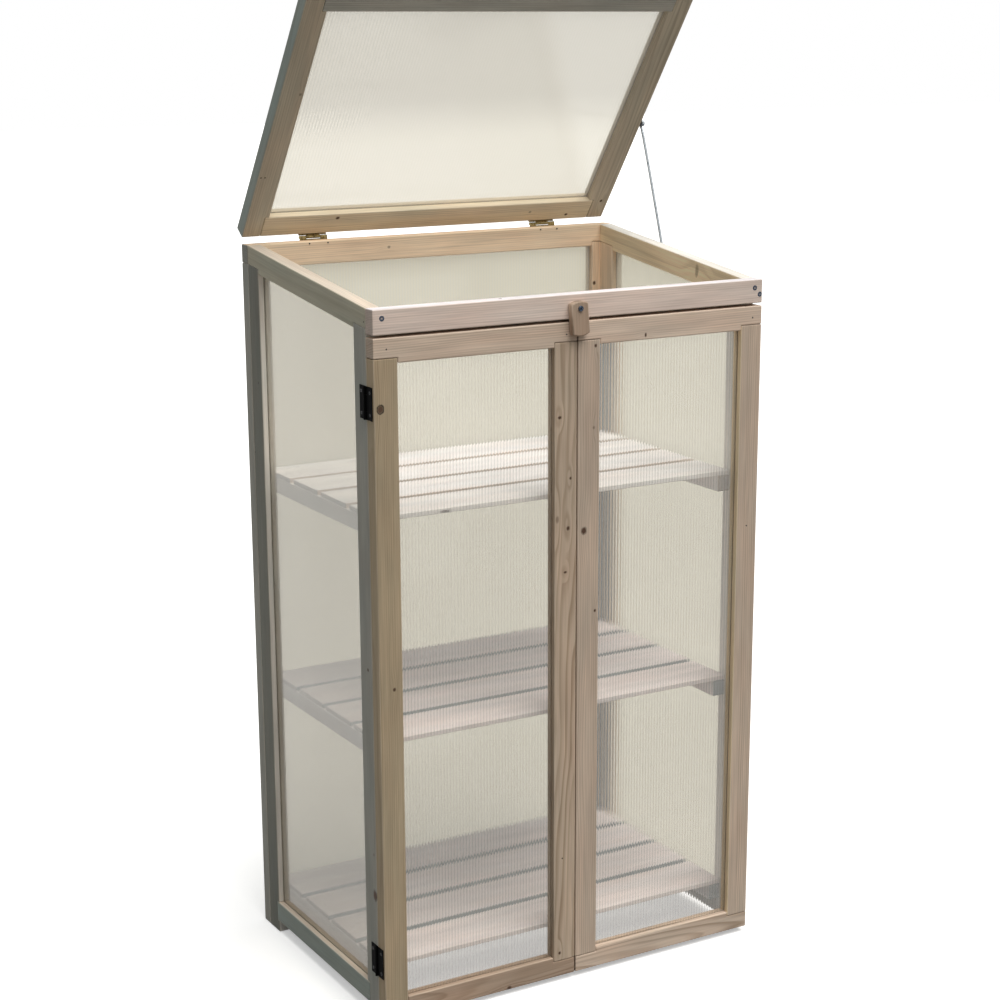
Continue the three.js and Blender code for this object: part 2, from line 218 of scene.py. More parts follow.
class Stain(Enum):
    """The tone of the early wood under its thin pale stain; some tones are painted light for tops and painted
    shade for faces that lie in shade.
    """

    ROSE = "#E8D5CA"
    SHELL = "#E2CCBA"
    BLUSH = "#D7C2B0"
    FAWN = "#C8B5A4"
    TAUPE = "#C2AE9A"
    UMBER = "#B19A87"
    SAND = "#B2A086"
    DUSK = "#BAAF9B"
    STRAW = "#E8D8BD"
    HONEY = "#F4D9BB"
    MAPLE = "#FCE6C2"
    CHALK = "#E9E4DC"
    # PEARL and OAT: painted light, tones for the tops of timbers where the lamp above falls
    PEARL = "#EFE8EB"
    OAT = "#D8CABA"
    WHEAT = "#CEC1AC"
    BARE = "#FDF9F8"
    # painted shade: the lower shelves' tone, darker than BARE on the top shelf because less light reaches
    # them
    AGED = "#EADFDF"
    # MOSS to MIST: grey tones of painted shade for faces that lie in shade
    MOSS = "#BAB5A3"
    ASH = "#A3A29B"
    LEAD = "#9EA6A0"
    SLATE = "#787870"
    MIST = "#848E91"
    PEWTER = "#BFBDB4"


class KnotKind(Enum):
    """How a knot looks: how dark its core is and how strong its rim."""

    TIGHT = (0.95, 0.3)
    RINGED = (0.9, 1.0)
    PIN = (0.95, 0.2)
    FAINT = (0.5, 0.12)


# How a knot is drawn, in shares of its radius: where its core fades, how uneven its outline is,
# where its rim lies, and where and how strongly the grain bends round it in a longer oval
KNOT_CORE = (0.8, 1.4)
KNOT_WOBBLE = 0.5
KNOT_WOBBLES = 1.6
KNOT_RIM = 1.2
KNOT_RIM_WIDTH = 0.26
KNOT_HALO = (0.6, 3.8)
KNOT_HALO_OVAL = (0.32, 1.0, 1.0)
KNOT_HALO_LIFT = 0.8
# When in a year the late wood darkens, when it ends, and how bold it is from year to year
LATE_RISE = (0.3, 0.86)
LATE_END = (0.88, 1.0)
LATE_BOLDNESS = (0.2, 1.0)


class Figure(Enum):
    """What is uneven in fir: features per millimetre along and across the grain, and their detail."""

    WANDER = (0.0026, 0.02, 2.0)
    FIBRE = (0.012, 0.42, 3.0)
    HAIR = (0.006, 1.1, 2.0)
    BLOTCH = (0.006, 0.035, 2.0)
    CAST = (0.008, 0.03, 1.0)


@dataclass(frozen=True)
class Knot:
    """A branch that the saw cut across.

    Attributes:
        place: its middle in the part's frame, in millimetres.
        radius: half its width.
        kind: how it looks.
        stretch: how much longer it is along the grain than across it.
        through: the way that the branch runs.
    """

    place: Point
    radius: float
    kind: KnotKind = KnotKind.TIGHT
    stretch: float = 1.25
    through: Vector = Y_AXIS


@dataclass(frozen=True)
class Face:
    """A face of a timber that has another tone than the rest of it: a plain wood tone on outer faces, painted
    light on tops, painted shade on faces that lie in shade.

    Attributes:
        way: the way that it looks.
        tone: its tone.
        top: how high up the tone reaches, in millimetres.
    """

    way: Vector
    tone: Stain
    top: float = math.inf


@dataclass(frozen=True)
class Board:
    """How one timber lies and how it was sawn from the log.

    Attributes:
        grain: unit vector along the timber.
        across: unit vector along its width.
        middle: the timber's middle, in millimetres.
        half: half its length, width and thickness, in millimetres.
        heart: from the timber's middle to the heart of the log, along the width and through the thickness.
        lean: how far the heart strays sideways, per length, in the same two directions.
    """

    grain: Vector
    across: Vector
    middle: Vector
    half: Point
    heart: Pair
    lean: Pair

    @property
    def axes(self) -> tuple[Vector, Vector, Vector]:
        """Along the grain, along the width and through the thickness."""
        return (self.grain, self.across, self.grain.cross(self.across))

    def to_board(self, point: Vector) -> Vector:
        """A point of the part's frame, in millimetres, in the board's own directions."""
        return Vector([(point - self.middle).dot(axis) for axis in self.axes])


def board_of(node: Piece, heart: Pair, lean: Pair) -> Board:
    """Works out how a timber lies from its longest sharp edges.

    Args:
        node: the timber's object.
        heart: from its middle to the heart of the log, in millimetres.
        lean: how far the heart strays, per length.

    Returns:
        The board's directions, middle and size.
    """
    shape = welded(node)
    sharp = math.radians(30)
    ways = [e.verts[1].co - e.verts[0].co for e in shape.edges if e.calc_face_angle(0.0) > sharp]
    grain = max(ways, key=lambda way: way.length).normalized()
    square_ways = [way for way in ways if abs(way.normalized().dot(grain)) < 0.05]
    across = max(square_ways, key=lambda way: way.length)
    across = (across - grain * across.dot(grain)).normalized()
    grain, across = (way if max(way, key=abs) > 0 else -way for way in (grain, across))
    axes = (grain, across, grain.cross(across))
    corners = [v.co for v in shape.verts]
    spans = [[end / MM for end in extent(corners, axis)] for axis in axes]
    shape.free()
    middle = Vector()
    for axis, (low, high) in zip(axes, spans):
        middle += axis * (low + high) / 2
    half = tuple((high - low) / 2 for low, high in spans)
    return Board(grain, across, middle, half, heart, lean)


@dataclass(frozen=True)
class PlanedFir:
    """Planed fir under a thin pale stain: soft matt wood whose late wood still shows as darker lines.

    Attributes:
        ring_width: one year's growth, in millimetres.
        wander: how far the rings stray from true circles, in millimetres.
        line_strength: how strongly late wood shows.
        fibre_strength: how strongly the fine streaks show.
        hair_strength: how strongly the finest streaks show.
        blotch_strength: how uneven the stain is.
        roughness: of the early wood.
        line_gloss: how much smoother late wood is.
        relief: how far the grain stands out, in millimetres.
        index: of refraction.
        specular: how strongly the matt stain shines.
        arris_wear_and_highlight: how much paler the long arrises are, partly from wear and partly a painted
            highlight.
        arris_wear_and_highlight_tone: the tone that they turn to.
        arris_wear_and_highlight_width: how far from an arris the paler tone reaches, in millimetres.
        arris: how much of that is fully pale, in millimetres.
        face_depth: how far round an edge a face of another tone reaches, in millimetres.
        fade_length: how gradually such a tone ends along the grain, in millimetres.
        end_depth: how deep the end grain shows from the side, in millimetres.
        end_darkness: how much darker the stain made the end grain.
        knot_tone: of a knot's core.
        rim_tone: of the bark round it.
        late_tone: what late wood does to the tone: less of the pale stain, more of its own red-brown.
        tints: what the stain does where it took pinker and where it took greener.
        seed_step: how far apart the patterns of two timbers lie, in millimetres.
    """

    ring_width: float = 3.6
    wander: float = 7.0
    line_strength: float = 0.55
    fibre_strength: float = 0.11
    hair_strength: float = 0.06
    blotch_strength: float = 0.13
    roughness: float = 0.7
    line_gloss: float = 0.14
    relief: float = 0.16
    index: float = 1.45
    specular: float = 0.28
    arris_wear_and_highlight: float = 0.3
    arris_wear_and_highlight_tone: str = "#F0E2CE"
    arris_wear_and_highlight_width: float = 2.4
    arris: float = 0.4
    face_depth: float = 1.6
    fade_length: float = 60.0
    end_depth: float = 1.0
    end_darkness: float = 0.3
    knot_tone: str = "#432A1B"
    rim_tone: str = "#0C0704"
    late_tone: tuple[float, ...] = (0.56, 0.5, 0.44, 1.0)
    tints: tuple[tuple[float, ...], ...] = ((1.05, 0.985, 0.95, 1.0), (0.95, 1.01, 1.03, 1.0))
    seed_step: Point = (173.0, 59.0, 31.0)

    def material(
        self, name: str, board: Board, stain: Stain, seed: int, knots: Sequence[Knot], faces: Sequence[Face]
    ) -> Material:
        """Builds the wood of one timber.

        Args:
            name: the timber's name.
            board: how it was sawn.
            stain: its tone.
            seed: sets it apart from the other timbers.
            knots: the branches in it.
            faces: those of another tone.

        Returns:
            The material.
        """
        material, add = new_material("fir_" + name)
        FirGrain(self, board, seed, add).draw(stain, knots, faces)
        return material


@dataclass
class FirGrain:
    """Draws the wood of one timber.

    Attributes:
        fir: how strongly its grain shows.
        board: how it lies and how it was sawn.
        seed: sets it apart from the other timbers.
        add: adds a node to its material.
    """

    fir: PlanedFir
    board: Board
    seed: int
    add: Adder

    def __post_init__(self) -> None:
        """Finds the point being shaded in the board's own directions."""
        self.place = self._place(self.board.axes)

    def draw(self, stain: Stain, knots: Sequence[Knot], faces: Sequence[Face]) -> None:
        """Draws the whole of it.

        Args:
            stain: its tone.
            knots: the branches in it.
            faces: those of another tone.
        """
        fir, add = self.fir, self.add
        apart = tuple(self.seed * step for step in fir.seed_step)
        moved = add("VectorMath", self.place, apart, operation="ADD")
        wander, fibre, hair, blotch, cast = (self._uneven(moved, figure) for figure in Figure)
        core, rim, halo = self._knots(knots)
        late = self._late_wood(wander, halo)
        strength = add("Math", late, fir.line_strength, operation="MULTIPLY")
        wood = self._lined(self._early_wood(stain, faces), strength)
        tint = add("Mix", {0: cast, 6: fir.tints[0], 7: fir.tints[1]}, **TONES)
        wood = add("VectorMath", wood, tint, operation="MULTIPLY")
        shares = (fir.fibre_strength, fir.hair_strength, fir.blotch_strength)
        for noise, share in zip((fibre, hair, blotch), shares):
            factor = add("MapRange", noise, 0.25, 0.75, 1 - share, 1 + share, clamp=False)
            wood = add("VectorMath", {0: wood, 3: factor}, operation="SCALE")
        # the long arrises are paler: wear, and a painted highlight
        coats = [(self._worn_and_highlit_arris(fibre), fir.arris_wear_and_highlight_tone)]
        if knots:
            coats += [(core, fir.knot_tone), (rim, fir.rim_tone)]
        for share, tone in coats:
            wood = add("Mix", {0: share, 6: wood, 7: to_linear(tone)}, **TONES)
        relief = add("Math", late, 0.6, fibre, operation="MULTIPLY_ADD")
        feeds = {
            "Base Color": wood,
            "Roughness": add("MapRange", strength, 0, 1, fir.roughness, fir.roughness - fir.line_gloss),
            "Normal": add("Bump", {"Height": relief, "Strength": 0.5, "Distance": fir.relief * MM}),
            "IOR": fir.index,
            "Specular IOR Level": fir.specular,
        }
        add("OutputMaterial", add("BsdfPrincipled", feeds))

    def _place(self, axes: Sequence[Vector]) -> Socket:
        """The point being shaded, from the board's middle, in millimetres along three directions.

        Args:
            axes: the three directions.

        Returns:
            The point.
        """
        part = self.add("TexCoord", out="Object")
        offset = self.add("VectorMath", part, tuple(self.board.middle * MM), operation="SUBTRACT")
        steps = [tuple(axis / MM) for axis in axes]
        turned = [
            self.add("VectorMath", offset, step, out="Value", operation="DOT_PRODUCT") for step in steps
        ]
        return self.add("CombineXYZ", *turned)

    def _uneven(self, place: Socket, figure: Figure) -> Socket:
        """Smooth noise from 0 to 1, with its features drawn out along the grain.

        Args:
            place: where in the noise the point lies.
            figure: which of the wood's uneven parts it is.

        Returns:
            The noise.
        """
        along, across, detail = figure.value
        scaled = self.add("VectorMath", place, (along, across, across), operation="MULTIPLY")
        return self.add("TexNoise", {"Vector": scaled, "Scale": 1.0, "Detail": detail})

    def _early_wood(self, stain: Stain, faces: Sequence[Face]) -> Socket | tuple[float, ...]:
        """The tone of the wood between the dark lines.

        Args:
            stain: its tone.
            faces: those of another tone.

        Returns:
            The tone.
        """
        tone = to_linear(stain.value)
        for face in faces:
            tone = self.add("Mix", {0: self._face(face), 6: tone, 7: to_linear(face.tone.value)}, **TONES)
        return tone

    def _lined(self, early: Socket | tuple[float, ...], strength: Socket) -> Socket:
        """Draws the dark lines and the dark ends on the early wood.

        Args:
            early: the early wood's tone.
            strength: how much late wood shows.

        Returns:
            The wood's tone.
        """
        fir, add = self.fir, self.add
        shade = add("Mix", {0: strength, 6: (1.0, 1.0, 1.0, 1.0), 7: fir.late_tone}, **TONES)
        wood = add("Mix", {0: 1.0, 6: early, 7: shade}, **TONES, blend_type="MULTIPLY")
        along = add("Math", add("SeparateXYZ", self.place), operation="ABSOLUTE")
        end = self.board.half[0]
        kept = add("MapRange", along, end - fir.end_depth, end - fir.arris, 1, 1 - fir.end_darkness)
        return add("VectorMath", {0: wood, 3: kept}, operation="SCALE")

    def _face(self, face: Face) -> Socket:
        """How far the point lies on a face of another tone.

        Args:
            face: the face.

        Returns:
            The share, from 0 to 1.
        """
        add, board = self.add, self.board
        turned = [face.way.dot(axis) for axis in board.axes]
        side = max(range(3), key=lambda i: abs(turned[i]))
        sign = math.copysign(1.0, turned[side])
        height = add("Math", add("SeparateXYZ", self.place, out=side), sign, operation="MULTIPLY")
        half = board.half[side]
        share = add("MapRange", height, half - self.fir.face_depth, half - 0.3, 0, 1)
        if face.top < math.inf:
            end = face.top - board.middle.z
            along = add("SeparateXYZ", self.place)
            below = add("MapRange", along, end - self.fir.fade_length, end, 1, 0)
            share = add("Math", share, below, operation="MULTIPLY")
        return share

    def _late_wood(self, wander: Socket, halo: Socket | float) -> Socket:
        """How far the point lies in the dark late wood of a ring, from 0 to 1.

        Args:
            wander: noise that bends the rings.
            halo: how close the point is to a knot.

        Returns:
            The share of late wood.
        """
        fir, add, board = self.fir, self.add, self.board
        leaning = [axis - board.grain * lean for axis, lean in zip(board.axes[1:], board.lean)]
        log = self._place((board.grain, *leaning))
        from_heart = add("VectorMath", log, (0.0, *board.heart), operation="SUBTRACT")
        flat = add("VectorMath", from_heart, (0.0, 1.0, 1.0), operation="MULTIPLY")
        radius = add("VectorMath", flat, out="Value", operation="LENGTH")
        strayed = add("Math", wander, fir.wander * 2, radius, operation="MULTIPLY_ADD")
        lifted = add("Math", halo, fir.ring_width, strayed, operation="MULTIPLY_ADD")
        years = add("Math", lifted, fir.ring_width, operation="DIVIDE")
        # each year the wood darkens slowly and starts pale again at once
        season = add("Math", years, operation="FRACT")
        rising = add("MapRange", season, *LATE_RISE, 0, 1, interpolation_type="SMOOTHSTEP")
        ending = add("MapRange", season, *LATE_END, 1, 0)
        line = add("Math", rising, ending, operation="MULTIPLY")
        # some years left bold lines and some hardly any
        year = add("CombineXYZ", years, self.seed * 7.3)
        bold = add("TexNoise", {"Vector": year, "Scale": 0.6, "Detail": 1.0})
        bold = add("MapRange", bold, 0.34, 0.64, *LATE_BOLDNESS)
        return add("Math", line, bold, operation="MULTIPLY")

    def _worn_and_highlit_arris(self, fibre: Socket) -> Socket:
        """How far the point lies on one of the four long arrises, paler partly where handling rubbed the
        stain and partly as a painted highlight where the edges catch the light.

        Args:
            fibre: noise that breaks the pale line up.

        Returns:
            The share, from 0 to 1.
        """
        fir, add = self.fir, self.add
        nearness = []
        for side in (1, 2):
            size = add("Math", add("SeparateXYZ", self.place, out=side), operation="ABSOLUTE")
            half = self.board.half[side]
            nearness.append(add("MapRange", size, half - fir.arris_wear_and_highlight_width, half - fir.arris, 0, 1))
        both = add("Math", *nearness, operation="MULTIPLY")
        patchy = add("MapRange", fibre, 0.3, 0.65, fir.arris_wear_and_highlight * 0.4, fir.arris_wear_and_highlight)
        return add("Math", both, patchy, operation="MULTIPLY")

    def _knots(self, knots: Sequence[Knot]) -> tuple[Socket | float, Socket | float, Socket | float]:
        """How far the point lies in a knot, on its rim and in the grain that bends round it.

        Args:
            knots: the branches in the timber.

        Returns:
            The shares of core, rim and halo, which are plain zeros without knots.
        """
        core, rim, halo = 0.0, 0.0, 0.0
        for knot in knots:
            inside, on_rim, around = self._knot(knot)
            core = self.add("Math", core, inside, operation="MAXIMUM")
            rim = self.add("Math", rim, on_rim, operation="MAXIMUM")
            halo = self.add("Math", halo, around, operation="ADD")
        return core, rim, halo

    def _knot(self, knot: Knot) -> tuple[Socket, Socket, Socket]:
        """The same for one knot.

        Args:
            knot: the branch.

        Returns:
            The shares of core, rim and halo.
        """
        add, board = self.add, self.board
        middle = tuple(board.to_board(Vector(knot.place)))
        sizes = (knot.radius * knot.stretch, knot.radius, knot.radius)
        mask = tuple((1 - abs(knot.through.dot(axis))) / size for axis, size in zip(board.axes, sizes))
        offset = add("VectorMath", self.place, middle, operation="SUBTRACT")
        flat = add("VectorMath", offset, mask, operation="MULTIPLY")
        distance = add("VectorMath", flat, out="Value", operation="LENGTH")
        wobble = add("TexNoise", {"Vector": flat, "Scale": KNOT_WOBBLES, "Detail": 1.0})
        uneven = add("Math", wobble, KNOT_WOBBLE, distance, operation="MULTIPLY_ADD")
        darkness, rim_strength = knot.kind.value
        inside = add("MapRange", uneven, *KNOT_CORE, darkness, 0, interpolation_type="SMOOTHSTEP")
        off_rim = add("Math", uneven, KNOT_RIM, operation="SUBTRACT")
        off_rim = add("Math", off_rim, operation="ABSOLUTE")
        on_rim = add("MapRange", off_rim, 0, KNOT_RIM_WIDTH, rim_strength, 0)
        drawn = add("VectorMath", flat, KNOT_HALO_OVAL, operation="MULTIPLY")
        passing = add("VectorMath", drawn, out="Value", operation="LENGTH")
        bending = (*KNOT_HALO, KNOT_HALO_LIFT, 0)
        around = add("MapRange", passing, *bending, interpolation_type="SMOOTHERSTEP")
        return inside, on_rim, around


# Straight, even wood: quiet lines that a step away melt into the tone
CALM_FIR = PlanedFir(line_strength=0.34, wander=4.5)
# Ordinary framing wood
PLAIN_FIR = PlanedFir()
# Faster grown and flat-sawn: wide lines that swing round the knots
BOLD_FIR = PlanedFir(ring_width=5.2, wander=13.0, line_strength=0.85)
# Thin unstained shelf wood: pale, clean and nearly without lines
SHELF_FIR = PlanedFir(line_strength=0.14, fibre_strength=0.05, wander=6.0, arris_wear_and_highlight=0.1)


@dataclass(frozen=True)
class Metal:
    """A plated or lacquered metal: smooth underneath, with fine scuffs and duller patches.

    Attributes:
        name: what the metal really is.
        colour: of the clean metal.
        dull: of its duller patches.
        metallic: one for plating, less under lacquer.
        roughness: of the clean metal.
        patch_size: of the dull patches, in millimetres.
        specular: how strongly a coating shines.
        gloss_spread: how much smoother its cleanest spots are, and how much rougher its dullest.
        scuff_depth: of its scuffs, in millimetres.
    """

    name: str
    colour: str
    dull: str
    metallic: float
    roughness: float
    patch_size: float = 4.0
    specular: float = 0.5
    gloss_spread: Pair = (-0.06, 0.18)
    scuff_depth: float = 0.05

    def material(self) -> Material:
        """Builds the metal, once for all its pieces.

        Returns:
            The material.
        """
        if self.name in bpy.data.materials:
            return bpy.data.materials[self.name]
        material, add = new_material(self.name)
        part = add("TexCoord", out="Object")
        patches = add("TexNoise", {"Vector": part, "Scale": 1 / (self.patch_size * MM), "Detail": 3.0})
        amount = add("MapRange", patches, 0.45, 0.7)
        colour = add("Mix", {0: amount, 6: to_linear(self.colour), 7: to_linear(self.dull)}, **TONES)
        rough = [self.roughness + spread for spread in self.gloss_spread]
        scuffs = {"Height": patches, "Strength": 0.3, "Distance": self.scuff_depth * MM}
        feeds = {
            "Base Color": colour,
            "Roughness": add("MapRange", patches, 0, 1, *rough),
            "Normal": add("Bump", scuffs),
            "Metallic": self.metallic,
            "Specular IOR Level": self.specular,
        }
        add("OutputMaterial", add("BsdfPrincipled", feeds))
        return material


# Stove-black lacquer over steel: nearly black, with a dull broken shine
BLACK_LACQUER = Metal("black_lacquered_steel", "#050505", "#0A0A0B", 0.0, 0.6, specular=0.02)
# Scuffed lacquer on the screw heads, a little lighter than the leaves
BLACK_SCREW = Metal("black_screw_head", "#1B1C1D", "#34363A", 0.3, 0.4, 1.2, specular=0.3)
# Thin brass plating: yellow-grey, brighter on the knuckles
BRASS_PLATE = Metal("brass_plated_steel", "#94845A", "#473E28", 1.0, 0.36)
# Blue-passivated zinc plating: dark steel blue that flashes where it faces the light
ZINC_PLATE = Metal("zinc_plated_steel", "#414854", "#20242C", 1.0, 0.32, 2.0)
# Drawn and galvanised wire: an even bright grey
GALVANISED_WIRE = Metal("galvanised_steel_wire", "#A8ADB2", "#7C8388", 1.0, 0.32)
# Cut ends and nail heads, dark with age
DARK_STEEL = Metal("blued_steel_nail", "#3E3A38", "#2A2624", 0.8, 0.5)


@dataclass(frozen=True)
class TwinWallPlastic:
    """Extruded twin-wall polycarbonate: two clear skins on thin ribs, which bend and veil what lies behind.

    Attributes:
        name: the sheet's finish.
        tone: of its milky share.
        veil: how milky the clear cells are, from 0 to 1.
        rib_veil: how milky the ribs are.
        rib_tone: of the ribs, which stand edge on and look darker.
        tint: what a clear cell lets through of white.
        rib_width: drawn wider than the real 0.4 mm, so that it shows.
        shade: how much lamp light the sheet lets through.
        index: its index of refraction.
        roughness: of the clear skins.
    """

    name: str
    tone: str
    veil: float
    rib_veil: float
    rib_tone: str
    tint: str = "#E4E2DB"
    rib_width: float = 1.3
    shade: str = "#F1F0ED"
    index: float = 1.58
    roughness: float = 0.0

    def material(self, across: Vector, start: float, pitch: float) -> Material:
        """Builds the plastic for one sheet.

        Args:
            across: unit vector across the ribs.
            start: distance along it to the middle of a rib, in millimetres.
            pitch: from rib to rib, in millimetres.

        Returns:
            The material.
        """
        material, add = new_material(self.name)
        part = add("TexCoord", out="Object")
        step = tuple(across / (pitch * MM))
        run = add("VectorMath", part, step, out="Value", operation="DOT_PRODUCT")
        cell = add("Math", run, start / pitch - 0.5, operation="SUBTRACT")
        cell = add("Math", cell, operation="FRACT")
        off_rib = add("Math", cell, 0.5, operation="SUBTRACT")
        off_rib = add("Math", off_rib, operation="ABSOLUTE")
        reach = self.rib_width / pitch
        veils = (self.rib_veil, self.veil)
        veil = add("MapRange", off_rib, 0.0, reach, *veils, interpolation_type="SMOOTHSTEP")
        tones = {6: to_linear(self.rib_tone), 7: to_linear(self.tone)}
        tone = add("Mix", add("MapRange", off_rib, 0.0, reach), tones, **TONES)
        # the milky share scatters light from in front and from behind
        milk = add("MixShader", 0.5, add("BsdfDiffuse", tone), add("BsdfTranslucent", tone))
        feeds = {"Roughness": self.roughness, "IOR": self.index, "Transmission Weight": 1.0}
        clear = add("BsdfPrincipled", to_linear(self.tint), feeds)
        seen = add("MixShader", veil, clear, milk)
        # lamps and bounced light pass straight through, tinted
        passing = add("BsdfTransparent", to_linear(self.shade))
        lamp, bounced = (add("LightPath", out=f"Is {ray} Ray") for ray in ("Shadow", "Diffuse"))
        through = add("Math", lamp, bounced, operation="MAXIMUM")
        add("OutputMaterial", add("MixShader", through, seen, passing))
        return material


# The doors' sheets: clean, so that shelves and slats show behind the ribs
CLEAN_SHEET = TwinWallPlastic("clean_twin_wall_polycarbonate", "#F5F0E8", 0.05, 0.25, "#C9C8C2", "#FAF9F7")
# The left sheet: as clean, its ribs hardly showing
SIDE_SHEET = TwinWallPlastic("smooth_twin_wall_polycarbonate", "#EDE9E0", 0.08, 0.14, "#C9C8C2", "#CBC8C0")
# The back and right sheets: the same stock with a bloom of dust and dried damp on it
HAZED_SHEET = TwinWallPlastic("hazed_twin_wall_polycarbonate", "#ECE8DB", 0.38, 0.5, "#C9C8C2", "#C5C1B1")
# The lid's sheet: hazed, but not yet yellowed
LID_SHEET = TwinWallPlastic("lid_twin_wall_polycarbonate", "#F1EDE3", 0.28, 0.4, "#C9C8C2", "#E8E5DB")


def make_piece(name: str, shape: Shape, body: str, slot: str) -> Piece:
    """Turns a finished shape into a piece that rides on a body.

    Args:
        name: the piece's name.
        shape: its mesh, which is freed.
        body: the body that it moves with.
        slot: not used.

    Returns:
        The piece.
    """
    bmesh.ops.recalc_face_normals(shape, faces=shape.faces)
    piece = put_in_scene(name, shape)
    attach(piece, body)
    LOG.info("%s on %s: %d faces", name, body, len(piece.data.polygons))
    return piece


def add_box(shape: Shape, low: Vector, high: Vector) -> None:
    """Adds a box to a shape.

    Args:
        shape: what it is added to.
        low: its lowest corner, in metres.
        high: its highest corner, in metres.
    """
    made = bmesh.ops.create_cube(shape, size=1.0)
    place = Matrix.Translation((low + high) / 2) @ Matrix.Diagonal((*(high - low), 1.0))
    bmesh.ops.transform(shape, matrix=place, verts=made["verts"])


def add_lathe(shape: Shape, profile: Sequence[Pair], sides: int, place: Matrix) -> None:
    """Turns a profile round the Z axis of a place and adds it to a shape.

    Args:
        shape: what it is added to.
        profile: radius and height of each point, in millimetres, from axis to axis.
        sides: steps round the axis.
        place: where the axis lies, in metres.
    """
    rings: list[list[bmesh.types.BMVert]] = []
    for radius, height in profile:
        steps = 1 if radius == 0 else sides
        angles = [2 * math.pi * k / sides for k in range(steps)]
        points = [Vector((radius * math.cos(a), radius * math.sin(a), height)) * MM for a in angles]
        rings.append([shape.verts.new(place @ point) for point in points])
    for lower, upper in zip(rings, rings[1:]):
        for k in range(sides):
            corners = [lower[k % len(lower)], lower[(k + 1) % len(lower)]]
            corners += [upper[(k + 1) % len(upper)], upper[k % len(upper)]]
            shape.faces.new(list(dict.fromkeys(corners))).smooth = True


def add_loft(shape: Shape, rings: Sequence[Sequence[Vector]], smooth_sides: bool = True) -> None:
    """Joins rings of points with quads and closes both ends.

    Args:
        shape: what it is added to.
        rings: each ring's points, in metres, with as many points in each.
        smooth_sides: whether the sides are shaded as one round surface.
    """
    made = [[shape.verts.new(point) for point in ring] for ring in rings]
    size = len(made[0])
    for lower, upper in zip(made, made[1:]):
        for k in range(size):
            after = (k + 1) % size
            side = shape.faces.new((lower[k], lower[after], upper[after], upper[k]))
            side.smooth = smooth_sides
    shape.faces.new(list(reversed(made[0])))
    shape.faces.new(made[-1])


def apply_cut(piece: Piece, cutter: Shape) -> None:
    """Cuts a shape out of a piece for good. Both are in the part's frame.

    Args:
        piece: what is cut.
        cutter: the shape to take away, which is freed.
    """
    bmesh.ops.recalc_face_normals(cutter, faces=cutter.faces)
    tool = put_in_scene("cutter", cutter)
    cut = piece.modifiers.new("recess", "BOOLEAN")
    cut.operation = "DIFFERENCE"
    cut.solver = "EXACT"
    cut.object = tool
    bpy.context.view_layer.update()
    evaluated = piece.evaluated_get(bpy.context.evaluated_depsgraph_get())
    result = bpy.data.meshes.new_from_object(evaluated)
    piece.modifiers.remove(cut)
    spent = (piece.data, tool.data)
    piece.data = result
    bpy.data.objects.remove(tool)
    for mesh in spent:
        bpy.data.meshes.remove(mesh)


def ease_edges(piece: Piece, width: float) -> None:
    """Rounds a piece's sharp edges a little.

    Args:
        piece: the piece or the CAD node.
        width: of the rounding, in millimetres.
    """
    weld = piece.modifiers.new("shared_corners", "WELD")
    weld.merge_threshold = WELD_GAP
    flats = piece.modifiers.new("whole_faces", "DECIMATE")
    flats.decimate_type = "DISSOLVE"
    flats.angle_limit = math.radians(0.5)
    bevel = piece.modifiers.new("eased_edges", "BEVEL")
    bevel.width = width * MM
    bevel.segments = 2
    bevel.limit_method = "ANGLE"
    bevel.angle_limit = math.radians(35)
    bevel.use_clamp_overlap = False


class Head(Enum):
    """A fastener's head: profile of radius and height, and half the width of its cross recess."""

    COUNTERSUNK = (((0, -3.0), (1.9, -2.4), (4.1, -0.3), (4.15, 0.15), (3.9, 0.35), (0, 0.45)), 2.1)
    SMALL_COUNTERSUNK = (((0, -1.6), (1.2, -1.3), (2.6, 0.1), (2.65, 0.3), (2.4, 0.5), (0, 0.62)), 1.5)
    NAIL = (((0, -1.2), (1.1, -1.0), (1.3, 0.0), (1.25, 0.18), (0, 0.26)), 0.0)
    SCREW_TIP = (((0, -3.0), (1.3, -2.6), (1.3, 0.2), (0.9, 1.4), (0.25, 2.4), (0, 2.6)), 0.0)
    PAN = (
        ((0, -9.0), (1.9, -8.6), (1.95, -2.5), (4.3, -2.4), (4.55, -2.0))
        + ((4.5, -1.2), (3.9, -0.45), (2.6, -0.08), (0, 0)),
        2.3,
    )


